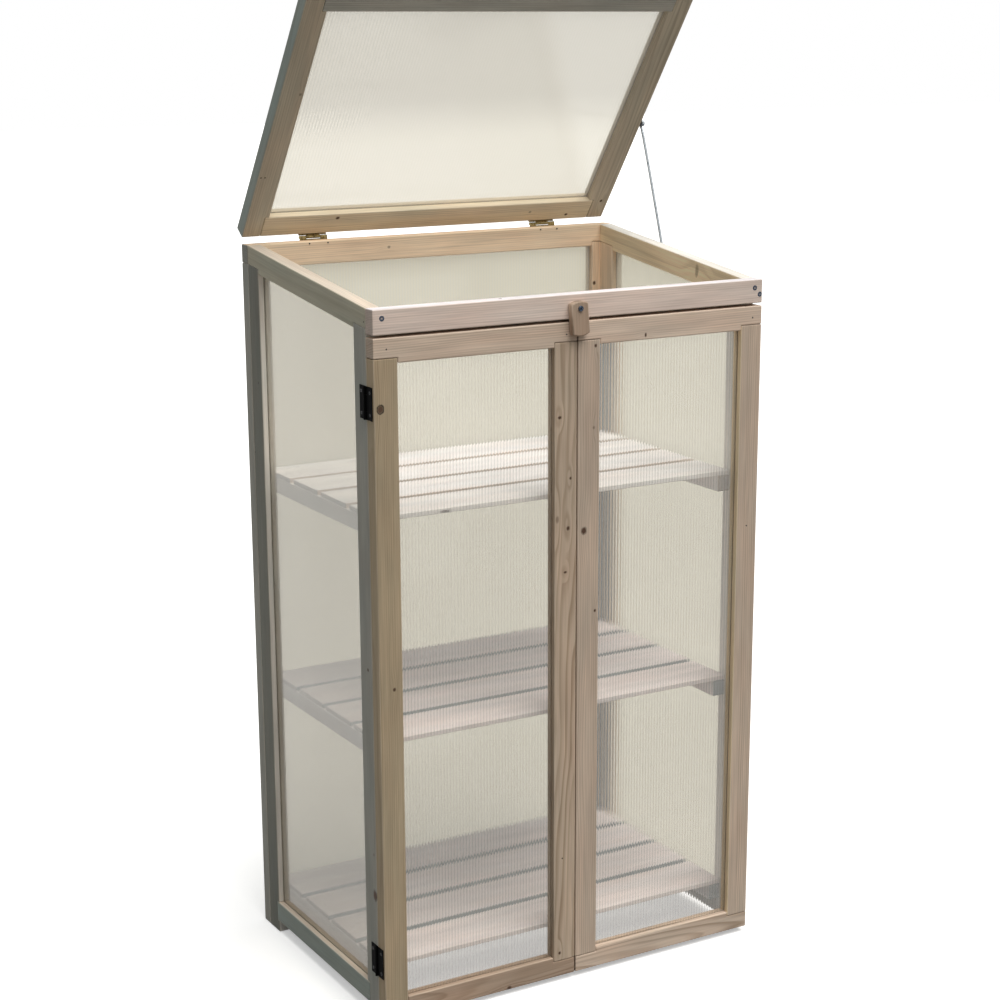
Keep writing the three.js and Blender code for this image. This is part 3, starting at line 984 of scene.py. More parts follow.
@dataclass
class Fasteners:
    """A group of like screws or nails in one piece.

    Attributes:
        name: the piece's name.
        places: where each head sits and the way it faces, in metres.
        body: the body that they are driven into.
        head: their shape.
        finish: their metal.
        slot: the record's slot for their metal.
        replaced: the CAD node that they stand for.
        sides: facets round a head.
        recess_depth: of the cross in a head.
        recess_arm: half the width of an arm of the cross.
        first_turn: how the first head is turned, in degrees.
        turn_step: from one head to the next, so that no two are turned alike.
    """

    name: str
    places: list[tuple[Vector, Vector]]
    body: str = "cabinet"
    head: Head = Head.NAIL
    finish: Metal = DARK_STEEL
    slot: str = "zinc"
    replaced: str = ""
    sides: int = 28
    recess_depth: float = 1.6
    recess_arm: float = 0.45
    first_turn: float = 27.0
    turn_step: float = 41.0

    def build(self) -> None:
        """Makes the heads and cuts their cross recesses."""
        shape = bmesh.new()
        profile, recess = self.head.value
        for place in self._turned_places():
            add_lathe(shape, profile, self.sides, place)
        piece = make_piece(self.name, shape, self.body, self.slot)
        if recess:
            self._cut_recesses(piece, recess)
        if self.replaced:
            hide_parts(self.replaced)
        dress(piece, self.finish.material())

    def _turned_places(self) -> Iterator[Matrix]:
        """Each head's place, with Z along the way that it faces.

        Yields:
            The place.
        """
        for i, (point, way) in enumerate(self.places):
            turn = Matrix.Rotation(math.radians(self.first_turn + self.turn_step * i), 4, "Z")
            yield Matrix.Translation(point) @ way.to_track_quat("Z", "Y").to_matrix().to_4x4() @ turn

    def _cut_recesses(self, piece: Piece, reach: float) -> None:
        """Cuts a cross into each head.

        Args:
            piece: the heads.
            reach: from the head's middle to the end of an arm, in millimetres.
        """
        cutter = bmesh.new()
        arm = self.recess_arm
        outline = []
        for quarter in range(4):
            turn = Matrix.Rotation(math.radians(90 * quarter), 3, "Z")
            outline += [turn @ Vector((*xy, 0)) for xy in ((reach, -arm), (reach, arm), (arm, arm))]
        for place in self._turned_places():
            heights = (-self.recess_depth, 2.0)
            rings = [[place @ (Vector((v.x, v.y, z)) * MM) for v in outline] for z in heights]
            add_loft(cutter, rings, False)
        apply_cut(piece, cutter)


@dataclass(frozen=True)
class Timber:
    """One timber and how it was sawn.

    Attributes:
        node: its name.
        stain: its tone.
        heart: from its middle to the heart of the log, along its width and through its thickness.
        lean: how far the heart strays sideways per length.
        knots: the branches in it.
        fir: how strongly its grain shows.
        edge_round: how much its edges are eased.
        faces: those of another tone.
    """

    node: str
    stain: Stain
    heart: Pair = (80.0, 14.0)
    lean: Pair = (0.006, 0.012)
    knots: tuple[Knot, ...] = ()
    fir: PlanedFir = PLAIN_FIR
    edge_round: float = 1.6
    faces: tuple[Face, ...] = ()

    def dress(self, timber: Piece, seed: int) -> None:
        """Eases the timber's edges and gives it its wood.

        Args:
            timber: its object.
            seed: sets its grain apart.
        """
        ease_edges(timber, self.edge_round)
        board = board_of(timber, self.heart, self.lean)
        dress(timber, self.fir.material(self.node, board, self.stain, seed, self.knots, self.faces))


# A timber of straight, even wood
calm = partial(Timber, fir=CALM_FIR)


@dataclass
class Sheet:
    """A twin-wall sheet: flat faces hollowed a little between the ribs, as the extruder leaves them.

    Attributes:
        place: the start of its CAD plate's name.
        plastic: its finish.
        body: the body that it rides on.
        ribs: unit vector along the ribs, or None to follow the lid.
        sag: how deep each face lies between the ribs.
        pitch: from rib to rib.
        steps: facets across a cell.
    """

    place: str
    plastic: TwinWallPlastic
    body: str = "cabinet"
    ribs: Vector | None = Z_AXIS
    sag: float = 0.042
    pitch: float = 5.5
    steps: int = 8

    def build(self, frame: dict) -> None:
        """Builds the sheet over its plate.

        Args:
            frame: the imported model.
        """
        plate = welded(frame["nodes"][f"{self.place}_glazing"])
        points = [v.co.copy() for v in plate.verts]
        plate.free()
        # the way through the sheet is the shortest way between two corners
        ways = ((b - a) for i, a in enumerate(points) for b in points[i + 1 :])
        normal = min(ways, key=lambda way: way.length).normalized()
        ribs = self.ribs or X_AXIS.cross(normal).normalized()
        across = ribs.cross(normal).normalized()
        if max(across, key=abs) < 0:
            across.negate()
        shape = bmesh.new()
        add_loft(shape, self._rings(points, ribs, across, normal))
        bmesh.ops.recalc_face_normals(shape, faces=shape.faces)
        for edge in shape.edges:
            edge.smooth = edge.calc_face_angle(0.0) < math.radians(30)
        piece = make_piece(f"{self.place}_twin_wall_sheet", shape, self.body, "twin_wall_sheet")
        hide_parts(f"{self.place}_glazing")
        first_rib = extent(points, across)[0] / MM
        dress(piece, self.plastic.material(across, first_rib, self.pitch))

    def _rings(
        self, points: list[Vector], ribs: Vector, across: Vector, normal: Vector
    ) -> list[list[Vector]]:
        """Outlines of the sheet from one edge to the other.

        Args:
            points: the plate's corners, in metres.
            ribs: unit vector along the ribs.
            across: unit vector across them.
            normal: unit vector through the sheet.

        Returns:
            Four corners for each place across the sheet.
        """
        first, last = extent(points, across)
        edges = [[p.dot(ribs) for p in points if abs(p.dot(across) - end) < 1e-4] for end in (first, last)]
        under, top = extent(points, normal)
        middle = (under + top) / 2
        half = top - middle
        rings = []
        for run, depth in self._columns(first, last):
            share = (run - first) / (last - first)
            low, high = (pick(edges[0]) + share * (pick(edges[1]) - pick(edges[0])) for pick in (min, max))
            base = across * run + normal * middle
            face = normal * (half - depth)
            lower, upper = base + ribs * low, base + ribs * high
            rings.append([lower - face, upper - face, upper + face, lower + face])
        return rings

    def _columns(self, first: float, last: float) -> Iterable[Pair]:
        """Places across the sheet and how deep the faces lie there, in metres.

        Args:
            first: the first edge.
            last: the last edge.

        Yields:
            The place and the depth.
        """
        step = self.pitch * MM / self.steps
        whole = int((last - first) / step)
        for k in range(whole + 1):
            share = (k % self.steps) / self.steps
            yield first + k * step, self.sag * MM * 4 * share * (1 - share)
        if first + whole * step < last - 1e-6:
            yield last, 0.0


@dataclass
class Hinge:
    """A butt hinge: two CAD leaves and their screws.

    Attributes:
        name: the start of both leaves' names.
        moving_leaf: the end of the other leaf's name.
        moving_body: what that is screwed to.
        finish: the leaves' metal.
        screws: the screws' metal.
        slot: a slot name handed on with the screws.
        edge_round: how much the leaves' edges are eased.
        screw_spread: from the leaf's middle to a screw.
        screw_from_edge: from the leaf's free edge to a screw.
        screw_sunk: how deep a screw's head sits in the leaf.
    """

    name: str
    moving_leaf: str
    moving_body: str
    finish: Metal
    screws: Metal
    slot: str
    edge_round: float = 0.35
    screw_spread: float = 16.6
    screw_from_edge: float = 6.0
    screw_sunk: float = 0.2

    def build(self, frame: dict) -> None:
        """Dresses the leaves and drives their screws.

        Args:
            frame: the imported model.
        """
        for leaf, body in (("frame_leaf", "cabinet"), (self.moving_leaf, self.moving_body)):
            name = f"{self.name}_{leaf}"
            node = frame["nodes"][name]
            ease_edges(node, self.edge_round)
            dress(node, self.finish.material())
            places = self._screw_places(node)
            Fasteners(
                f"{name}_screws", places, body, Head.SMALL_COUNTERSUNK, self.screws, self.slot
            ).build()

    def _screw_places(self, node: Piece) -> list[tuple[Vector, Vector]]:
        """Finds where the screws sit on the flat of a leaf.

        Args:
            node: the leaf.

        Returns:
            Two places, and the way that the flat faces.
        """
        shape = welded(node)
        bmesh.ops.dissolve_limit(shape, angle_limit=0.01, verts=shape.verts, edges=shape.edges)
        flats = sorted(shape.faces, key=lambda f: f.calc_area(), reverse=True)[:2]
        points = [v.co for v in shape.verts]
        middle = sum(points, Vector()) / len(points)
        # the knuckles stand on the leaf's outer side, so the mean of the corners lies outside the plate
        outer = max(flats, key=lambda f: f.normal.dot(middle - f.calc_center_median()))
        normal = outer.normal.copy()
        height = outer.calc_center_median().dot(normal)
        edges = (e.verts[1].co - e.verts[0].co for e in outer.edges)
        long_way = max(edges, key=lambda way: way.length).normalized()
        reach = normal.cross(long_way)
        corners = [v.co for v in outer.verts]
        near, far = extent(corners, reach)
        knuckle = max(points, key=lambda p: p.dot(normal)).dot(reach)
        free, inward = (near, 1) if knuckle > (near + far) / 2 else (far, -1)
        centre = normal * (height - self.screw_sunk * MM)
        centre += reach * (free + inward * self.screw_from_edge * MM)
        centre += long_way * sum(extent(corners, long_way)) / 2
        shape.free()
        return [(centre + long_way * (side * self.screw_spread * MM), normal) for side in (-1, 1)]


def on_face(node: str, way: Vector, marks: Sequence[Pair]) -> list[tuple[Vector, Vector]]:
    """Places on an upright face of a CAD node.

    Args:
        node: the node.
        way: the way that the face looks, along X or Y.
        marks: for each place, its distance along the other level axis and its height, in millimetres.

    Returns:
        The places and the way that they face, in metres.
    """
    low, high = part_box(node)
    side = 0 if abs(way.x) > 0.5 else 1
    places = []
    for along, height in marks:
        point = Vector((along * MM, along * MM, height * MM))
        point[side] = high[side] if way[side] > 0 else low[side]
        places.append((point, way))
    return places


@dataclass
class Cabinet:
    """The fixed frame: back, two sides, header, their sheets and the small fasteners in them.

    Attributes:
        stop_thickness: of the strip behind the header that the doors shut under.
        stop_height: of that strip.
        stop_drop: how far it hangs below the header.
        stop_gap: between it and the timbers round it.
        shade_painted_to: how high up the right rear post's inner face carries painted shade.
    """

    stop_thickness: float = 9.0
    stop_height: float = 22.0
    stop_drop: float = 11.0
    stop_gap: float = 0.3
    shade_painted_to: float = 1080.0

    def build(self, frame: dict, seeds: Iterator[int]) -> None:
        """Dresses the timbers and adds the sheets, the stop, screws and nails.

        Args:
            frame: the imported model.
            seeds: a number for each timber.
        """
        for timber in (*self._front_and_back(), *self._left_side(), *self._right_side()):
            timber.dress(frame["nodes"][timber.node], next(seeds))
        for place, plastic in (("left_side", SIDE_SHEET), ("right_side", HAZED_SHEET), ("back", HAZED_SHEET)):
            Sheet(place, plastic).build(frame)
        self._head_stop(next(seeds))
        self._screws()

    def _front_and_back(self) -> Iterable[Timber]:
        """The header and the back frame.

        Yields:
            The timber.
        """
        knots = (Knot((-132, -230, 1099), 2.6, KnotKind.PIN, through=Z_AXIS),)
        # painted light: the header's top is a paler tone than its front, as where the lamp above falls on it
        lit_top = (Face(Z_AXIS, Stain.PEARL),)
        yield calm("header_rail", Stain.ROSE, (-74, 22), (0.004, 0.01), knots, faces=lit_top)
        knots = (Knot((-95.7, 209, 1170.8), 2.4, KnotKind.FAINT),)
        outer = Face(Y_AXIS, Stain.FAWN)
        # painted shade: faces that look left, away from the lamp, are a darker grey
        face_tones = (outer, Face(-X_AXIS, Stain.ASH))
        yield calm("back_top_rail", Stain.HONEY, (74, 24), (0.01, 0.016), knots, faces=face_tones)
        yield Timber("back_bottom_rail", Stain.DUSK, (-70, 20), faces=(outer,))
        yield calm("back_left_stile", Stain.CHALK, (76, 10), faces=face_tones)
        knots = (Knot((313.0, 209.0, 1084.0), 3.0),)
        face_tones = (outer, Face(X_AXIS, Stain.FAWN))
        yield calm("back_right_stile", Stain.HONEY, (-80, 16), knots=knots, faces=face_tones)

    def _left_side(self) -> Iterable[Timber]:
        """The left side frame, whose faces that look left carry painted shade in grey tones and whose tops a
        painted light tone, while the rest keeps its own tone.

        Yields:
            The timber.
        """
        knots = (
            Knot((-351.8, -212.0, 214.1), 6.2, KnotKind.TIGHT, 1.6, X_AXIS),
            Knot((-351.8, -203.5, 582.0), 2.4, KnotKind.PIN, through=X_AXIS),
            Knot((-351.8, -210.4, 282.2), 2.0, KnotKind.FAINT, through=X_AXIS),
        )
        for name, tone, heart, knots in (
            ("front_stile", Stain.ASH, (84, 12), knots),
            ("rear_stile", Stain.SLATE, (-78, 14), ()),
            ("top_rail", Stain.MOSS, (70, 20), ()),
            ("bottom_rail", Stain.LEAD, (-66, 24), ()),
        ):
            # painted light on the tops, and painted shade in a darker grey for each timber on the faces that
            # look left, away from the lamp
            faces = (Face(Z_AXIS, Stain.OAT), Face(-X_AXIS, tone))
            yield calm(f"left_side_{name}", Stain.CHALK, heart, (0.004, 0.01), knots, faces=faces)

    def _right_side(self) -> Iterable[Timber]:
        """The right side frame.

        Yields:
            The timber.
        """
        outer = Face(X_AXIS, Stain.FAWN)
        yield calm("right_side_front_stile", Stain.CHALK, (-84, 12), faces=(outer,))
        # painted shade: the rear post's inner face is a cool grey up to that height, where it is seen in
        # shade through the door, and keeps its warm tone above
        face_tones = (outer, Face(-X_AXIS, Stain.MIST, self.shade_painted_to))
        yield calm("right_side_rear_stile", Stain.HONEY, (78, 14), faces=face_tones)
        knots = (Knot((327.8, -92.0, 1136.0), 11.0, KnotKind.FAINT, 0.45, X_AXIS),)
        # painted light: the top rail's top is a whiter tone than its sides, as where the lamp above falls on
        # it
        faces = (outer, Face(Z_AXIS, Stain.CHALK))
        yield calm("right_side_top_rail", Stain.MAPLE, (70, -20), (0.006, 0.02), knots, faces=faces)
        yield Timber("right_side_bottom_rail", Stain.DUSK, (66, 24), faces=(outer,))

    def _head_stop(self, seed: int) -> None:
        """Fixes a strip behind the header that closes the gap above the doors.

        Args:
            seed: sets its grain apart.
        """
        header_low, header_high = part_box("header_rail")
        ends = (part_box("left_side_front_stile")[1].x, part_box("right_side_front_stile")[0].x)
        gap = self.stop_gap * MM
        low = Vector((ends[0] + gap, header_high.y + gap, header_low.z - self.stop_drop * MM))
        high = Vector((ends[1] - gap, low.y + self.stop_thickness * MM, low.z + self.stop_height * MM))
        shape = bmesh.new()
        add_box(shape, low, high)
        strip = make_piece("header_door_stop", shape, "cabinet", "fir")
        Timber("header_door_stop", Stain.DUSK, edge_round=0.8).dress(strip, seed)

    def _screws(self) -> None:
        """Drives the header's screws, the side joints' nails and the tips of the lid hinges' screws."""
        header_marks = ((-336.6, 1123.5), (333.0, 1123.8), (343.0, 1113.0))
        places = on_face("header_rail", FORWARD, header_marks)
        Fasteners("header_screws", places, head=Head.COUNTERSUNK, finish=ZINC_PLATE).build()
        side_marks = ((182.0, 966.6), (205.2, 847.4), (-213.3, 1116.2))
        places = on_face("left_side_rear_stile", -X_AXIS, side_marks)
        places += on_face("right_side_rear_stile", X_AXIS, side_marks)
        Fasteners("side_frame_nails", places).build()
        tip_marks = [(x, 1184.5) for x in (-241.4, -208.1, 201.2, 234.4)]
        places = on_face("back_top_rail", FORWARD, tip_marks)
        Fasteners("lid_hinge_screw_tips", places, head=Head.SCREW_TIP).build()


@dataclass
class Door:
    """One door: four timbers, a sheet, two black hinges and the nails that pin its joints.

    Attributes:
        name: the start of its nodes' names, and its body.
        timbers: its stiles and rails.
        nails: along X and Z, in millimetres, on its front.
        sheet_sag: how hollow its sheet is between the ribs, which breaks up what shows behind.
    """

    name: str
    timbers: tuple[Timber, ...]
    nails: tuple[Pair, ...]
    sheet_sag: float = 0.055

    def build(self, frame: dict, seeds: Iterator[int]) -> None:
        """Dresses the timbers and adds the sheet, the hinges' screws and the nails.

        Args:
            frame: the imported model.
            seeds: a number for each timber.
        """
        for timber in self.timbers:
            timber.dress(frame["nodes"][timber.node], next(seeds))
        Sheet(self.name, CLEAN_SHEET, self.name, sag=self.sheet_sag).build(frame)
        for level in ("upper", "lower"):
            name = f"{self.name}_{level}_hinge"
            Hinge(name, "door_leaf", self.name, BLACK_LACQUER, BLACK_SCREW, "black_steel").build(frame)
        places = on_face(f"{self.name}_top_rail", FORWARD, self.nails)
        Fasteners(f"{self.name}_nails", places, self.name).build()


def door_knots(*rows: tuple) -> tuple[Knot, ...]:
    """Places knots that run through a door from front to back.

    Args:
        rows: X, Z and radius of each, then its kind and its stretch where they aren't the usual ones.

    Returns:
        The knots.
    """
    front = -242.0
    return tuple(Knot((x, front, z), radius, *looks) for x, z, radius, *looks in rows)


def left_door() -> Door:
    """The door with the ring knot beside its upper hinge.

    Returns:
        The door.
    """
    hinge_stile = door_knots((-341.5, 990.2, 5.6, KnotKind.RINGED), (-326.7, 557.2, 2.6))
    meeting_stile = door_knots(
        (-34.1, 947.8, 3.4, KnotKind.TIGHT, 0.8),
        (-14.1, 850.1, 2.2, KnotKind.PIN),
        (-38.1, 786.5, 3.0, KnotKind.FAINT, 2.0),
        (-18.3, 770.2, 3.0),
        (-23.2, 699.6, 3.0, KnotKind.TIGHT, 0.7),
        (-31.7, 50.3, 2.4),
    )
    bottom = door_knots((-127.7, 12.0, 3.4))
    timbers = (
        Timber("left_door_left_stile", Stain.SAND, (88, 10), (0.003, 0.01), hinge_stile),
        Timber("left_door_right_stile", Stain.TAUPE, (26, 48), (0.01, 0.02), meeting_stile, BOLD_FIR),
        Timber("left_door_top_rail", Stain.BLUSH, (-70, 24), (0.006, 0.01)),
        Timber("left_door_bottom_rail", Stain.UMBER, (10, 44), (0.01, 0.05), bottom, BOLD_FIR),
    )
    return Door("left_door", timbers, ((-27.1, 216.9), (-330.0, 1078.0), (-22.0, 1076.0)))


def right_door() -> Door:
    """The door with knots on its meeting stile.

    Returns:
        The door.
    """
    meeting_stile = door_knots(
        (10.9, 762.4, 5.2),
        (32.3, 628.6, 2.2, KnotKind.PIN),
        (28.1, 926.0, 2.2, KnotKind.FAINT),
        (30.7, 1054.6, 2.4),
    )
    top = door_knots((123.1, 1064.1, 3.4, KnotKind.TIGHT, 0.6))
    # painted light: the outer stile's inner face, which lies in shade, is given a paler tone
    pale = (Face(-X_AXIS, Stain.MAPLE),)
    timbers = (
        Timber("right_door_left_stile", Stain.FAWN, (-58, 30), (0.008, 0.01), meeting_stile),
        Timber("right_door_right_stile", Stain.FAWN, (-84, 18), (0.004, 0.01), faces=pale),
        Timber("right_door_top_rail", Stain.SHELL, (72, 20), (0.01, 0.01), top),
        Timber("right_door_bottom_rail", Stain.BLUSH, (-14, 46), (0.01, 0.04), fir=BOLD_FIR),
    )
    return Door("right_door", timbers, ((327.9, 730.6), (330.0, 1076.0)))


@dataclass
class Lid:
    """The lid: four rails round a sheet, on two brass hinges.

    Attributes:
        corner_nail: a nail of the left rear corner joint, in millimetres.
        corner_nail_gap: between the two nails of that joint.
    """

    corner_nail: Point = (-343.3, 163.7, 1298.1)
    corner_nail_gap: float = 7.0

    def build(self, frame: dict, seeds: Iterator[int]) -> None:
        """Dresses the rails and adds the sheet, the hinges' screws and the nails.

        Args:
            frame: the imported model.
            seeds: a number for each timber.
        """
        slope = board_of(frame["nodes"]["lid_left_rail"], (0, 0), (0, 0)).grain
        underside = slope.cross(X_AXIS)
        if underside.z > 0:
            underside.negate()
        for timber in self._timbers(underside):
            timber.dress(frame["nodes"][timber.node], next(seeds))
        Sheet("lid", LID_SHEET, "lid", None).build(frame)
        for side in ("left", "right"):
            Hinge(f"lid_{side}_hinge", "lid_leaf", "lid", BRASS_PLATE, BRASS_PLATE, "brass").build(frame)
        corner = Vector(self.corner_nail) * MM
        places = [(corner + X_AXIS * (i * self.corner_nail_gap * MM), underside) for i in range(2)]
        Fasteners("lid_corner_nails", places, "lid").build()

    def _timbers(self, underside: Vector) -> Iterable[Timber]:
        """The four rails, with knots that show on the underside.

        Args:
            underside: the way that it faces.

        Yields:
            The timber.
        """
        knot = partial(Knot, through=underside)
        knots = (
            knot((-184.6, 219.1, 1222.7), 3.0),
            knot((189.3, 225.3, 1214.3), 2.4, KnotKind.FAINT),
            knot((266.7, 231.4, 1205.9), 2.6),
        )
        yield calm("lid_hinge_rail", Stain.STRAW, (74, -24), (0.01, 0.02), knots)
        knots = (knot((-315.0, 66.4, 1430.4), 2.4, KnotKind.FAINT),)
        # painted shade: the left rail's face that looks left, away from the lamp, is a darker grey
        face_tones = (Face(-X_AXIS, Stain.LEAD),)
        yield calm("lid_left_rail", Stain.WHEAT, (78, 12), (0.004, 0.01), knots, faces=face_tones)
        knots = (knot((330.0, 215.1, 1228.2), 2.6),)
        yield Timber("lid_right_rail", Stain.WHEAT, (-30, 54), (0.01, 0.02), knots)
        yield calm("lid_front_rail", Stain.PEWTER, (70, 20))


@dataclass
class LidStay:
    """The wire that holds the lid open: an eye, a straight run and an open hook, on two round-headed screws.

    Attributes:
        wire_radius: of the wire.
        bend: from a screw's middle to the wire's middle.
        crank: from a screw to where the wire runs straight.
        eye: from its tip round to the crank, in degrees.
        hook: from the crank round to its tip, in degrees.
        sides: facets round the wire.
        bend_steps: steps along each bend.
        head_proud: from the wire's middle to the top of a screw's head.
    """

    wire_radius: float = 2.2
    bend: float = 4.7
    crank: float = 12.0
    eye: Pair = (-30, 225)
    hook: Pair = (135, 300)
    sides: int = 16
    bend_steps: int = 24
    head_proud: float = 4.9

    def build(self) -> None:
        """Builds the wire and its two screws over their CAD solids."""
        pivot, hook = (middle_of(name) for name in ("stay_pivot_screw", "stay_hook_screw"))
        pivot.x = hook.x = middle_of("lid_stay").x
        down = (hook - pivot).normalized()
        side = down.cross(X_AXIS)
        # the route's own upward direction runs from the hook to the eye
        route = self._route((hook - pivot).length / MM)
        shape = bmesh.new()
        add_loft(shape, self._rings([pivot + side * (p[0] * MM) - down * (p[1] * MM) for p in route]))
        wire = make_piece("wire_stay", shape, "stay", "zinc")
        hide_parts("lid_stay")
        dress(wire, GALVANISED_WIRE.material())
        for name, point, body in (
            ("stay_pivot_screw", pivot, "lid"),
            ("stay_hook_screw", hook, "cabinet"),
        ):
            places = [(point + X_AXIS * (self.head_proud * MM), X_AXIS)]
            Fasteners(f"{name}_head", places, body, Head.PAN, ZINC_PLATE, replaced=name).build()

    def _route(self, reach: float) -> list[Pair]:
        """The wire's middle line, sideways and up from the pivot, in millimetres.

        Args:
            reach: from screw to screw.

        Returns:
            Its points, from the eye's tip to the hook's.
        """
        straight = [(0.0, -self.crank), (0.0, self.crank - reach)]
        return soften([*self._arc(0.0, self.eye), *straight, *self._arc(-reach, self.hook)])

    def _arc(self, height: float, turn: Pair) -> list[Pair]:
        """Points round a screw.

        Args:
            height: of the screw.
            turn: the first angle and the last, in degrees.

        Returns:
            The points, in millimetres.
        """
        steps = self.bend_steps
        angles = [math.radians(turn[0] + (turn[1] - turn[0]) * i / steps) for i in range(steps + 1)]
        return [(self.bend * math.cos(a), height + self.bend * math.sin(a)) for a in angles]

    def _rings(self, points: list[Vector]) -> list[list[Vector]]:
        """A ring of points round each point of the wire's middle line.

        Args:
            points: the middle line's, in metres.

        Returns:
            The rings.
        """
        rings = []
        turns = [2 * math.pi * k / self.sides for k in range(self.sides)]
        radius = self.wire_radius * MM
        for i, point in enumerate(points):
            before, after = points[max(i - 1, 0)], points[min(i + 1, len(points) - 1)]
            across = (after - before).normalized().cross(X_AXIS)
            rings.append([point + (X_AXIS * math.sin(a) + across * math.cos(a)) * radius for a in turns])
        return rings


def soften(route: list[Pair]) -> list[Pair]:
    """Cuts a route's corners twice, and keeps its ends.

    Args:
        route: its points.

    Returns:
        The points of the softer route.
    """
    for _ in range(2):
        softer = [route[0]]
        for a, b in zip(route, route[1:]):
            for share in (0.25, 0.75):
                softer.append((a[0] + (b[0] - a[0]) * share, a[1] + (b[1] - a[1]) * share))
        route = [*softer, route[-1]]
    return route


@dataclass
class TurnButton:
    """The wooden bar on the header that turns to hold the doors, and its screw.

    Attributes:
        width: across the bar.
        length: from end to end.
        end_rise: how far each end bulges.
        thickness: of the bar.
        screw_from_end: from the upper end to the screw.
        lean: turned about its screw, in degrees.
        gap: from the header to the bar.
        rounding: of its front edges.
        back_rounding: of its back edges.
        round_steps: facets round an edge.
        arc_steps: facets round an end.
        head_proud: from the bar's front to the top of the screw's head.
    """

    width: float = 30.0
    length: float = 54.0
    end_rise: float = 4.0
    thickness: float = 12.0
    screw_from_end: float = 11.0
    lean: float = 4.0
    gap: float = 0.4
    rounding: float = 2.2
    back_rounding: float = 0.7
    round_steps: int = 5
    arc_steps: int = 12
    head_proud: float = 2.7

    def build(self, seed: int) -> None:
        """Builds the bar and its screw over their CAD solids.

        Args:
            seed: sets its grain apart.
        """
        screw = middle_of("turn_button_screw")
        screw.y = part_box("header_rail")[0].y
        upright = Matrix((X_AXIS, Z_AXIS, FORWARD)).transposed().to_4x4()
        lean = Matrix.Rotation(math.radians(self.lean), 4, "Z")
        place = Matrix.Translation(screw + FORWARD * (self.gap * MM)) @ upright @ lean
        shape = bmesh.new()
        add_loft(shape, [[place @ (point * MM) for point in ring] for ring in self._rings()])
        for face in shape.faces:
            face.smooth = len(face.verts) == 4
        bar = make_piece("turn_button_bar", shape, "button", "fir")
        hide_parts("turn_button")
        turned = place.to_3x3()
        middle = Vector((0, self.screw_from_end - self.length / 2, self.thickness / 2))
        middle = place.translation / MM + turned @ middle
        half = (self.length / 2, self.width / 2, self.thickness / 2)
        board = Board(turned @ Y_AXIS, turned @ X_AXIS, middle, half, (30, 40), (0.02, 0.02))
        dress(bar, CALM_FIR.material("turn_button_bar", board, Stain.UMBER, seed, (), ()))
        places = [(screw + FORWARD * ((self.gap + self.thickness + self.head_proud) * MM), FORWARD)]
        Fasteners(
            "turn_button_screw_head", places, "cabinet", Head.PAN, ZINC_PLATE, replaced="turn_button_screw"
        ).build()

    def _rings(self) -> Iterable[list[Vector]]:
        """The bar's outline at each height, drawn in round both edges.

        Yields:
            The outline, in millimetres round the screw.
        """
        turns = [math.radians(90 * i / self.round_steps) for i in range(self.round_steps + 1)]
        for turn in turns:
            inset, height = (self.back_rounding * (1 - part(turn)) for part in (math.sin, math.cos))
            yield self._outline(inset, height)
        for turn in turns:
            height = self.thickness - self.rounding * (1 - math.sin(turn))
            yield self._outline(self.rounding * (1 - math.cos(turn)), height)

    def _outline(self, inset: float, height: float) -> list[Vector]:
        """The bar's outline drawn in by an inset, round its screw.

        Args:
            inset: how far in.
            height: above the back.

        Returns:
            The points, anticlockwise.
        """
        half = self.width / 2
        radius = (half**2 + self.end_rise**2) / (2 * self.end_rise)
        upper = self.screw_from_end - radius
        lower = self.screw_from_end - self.length + radius
        reach = radius - inset
        spread = math.asin((half - inset) / reach)
        points = []
        for centre, middle in ((upper, 90), (lower, 270)):
            for k in range(self.arc_steps + 1):
                turn = math.radians(middle) - spread + 2 * spread * k / self.arc_steps
                points.append(Vector((reach * math.cos(turn), centre + reach * math.sin(turn), height)))
        return points


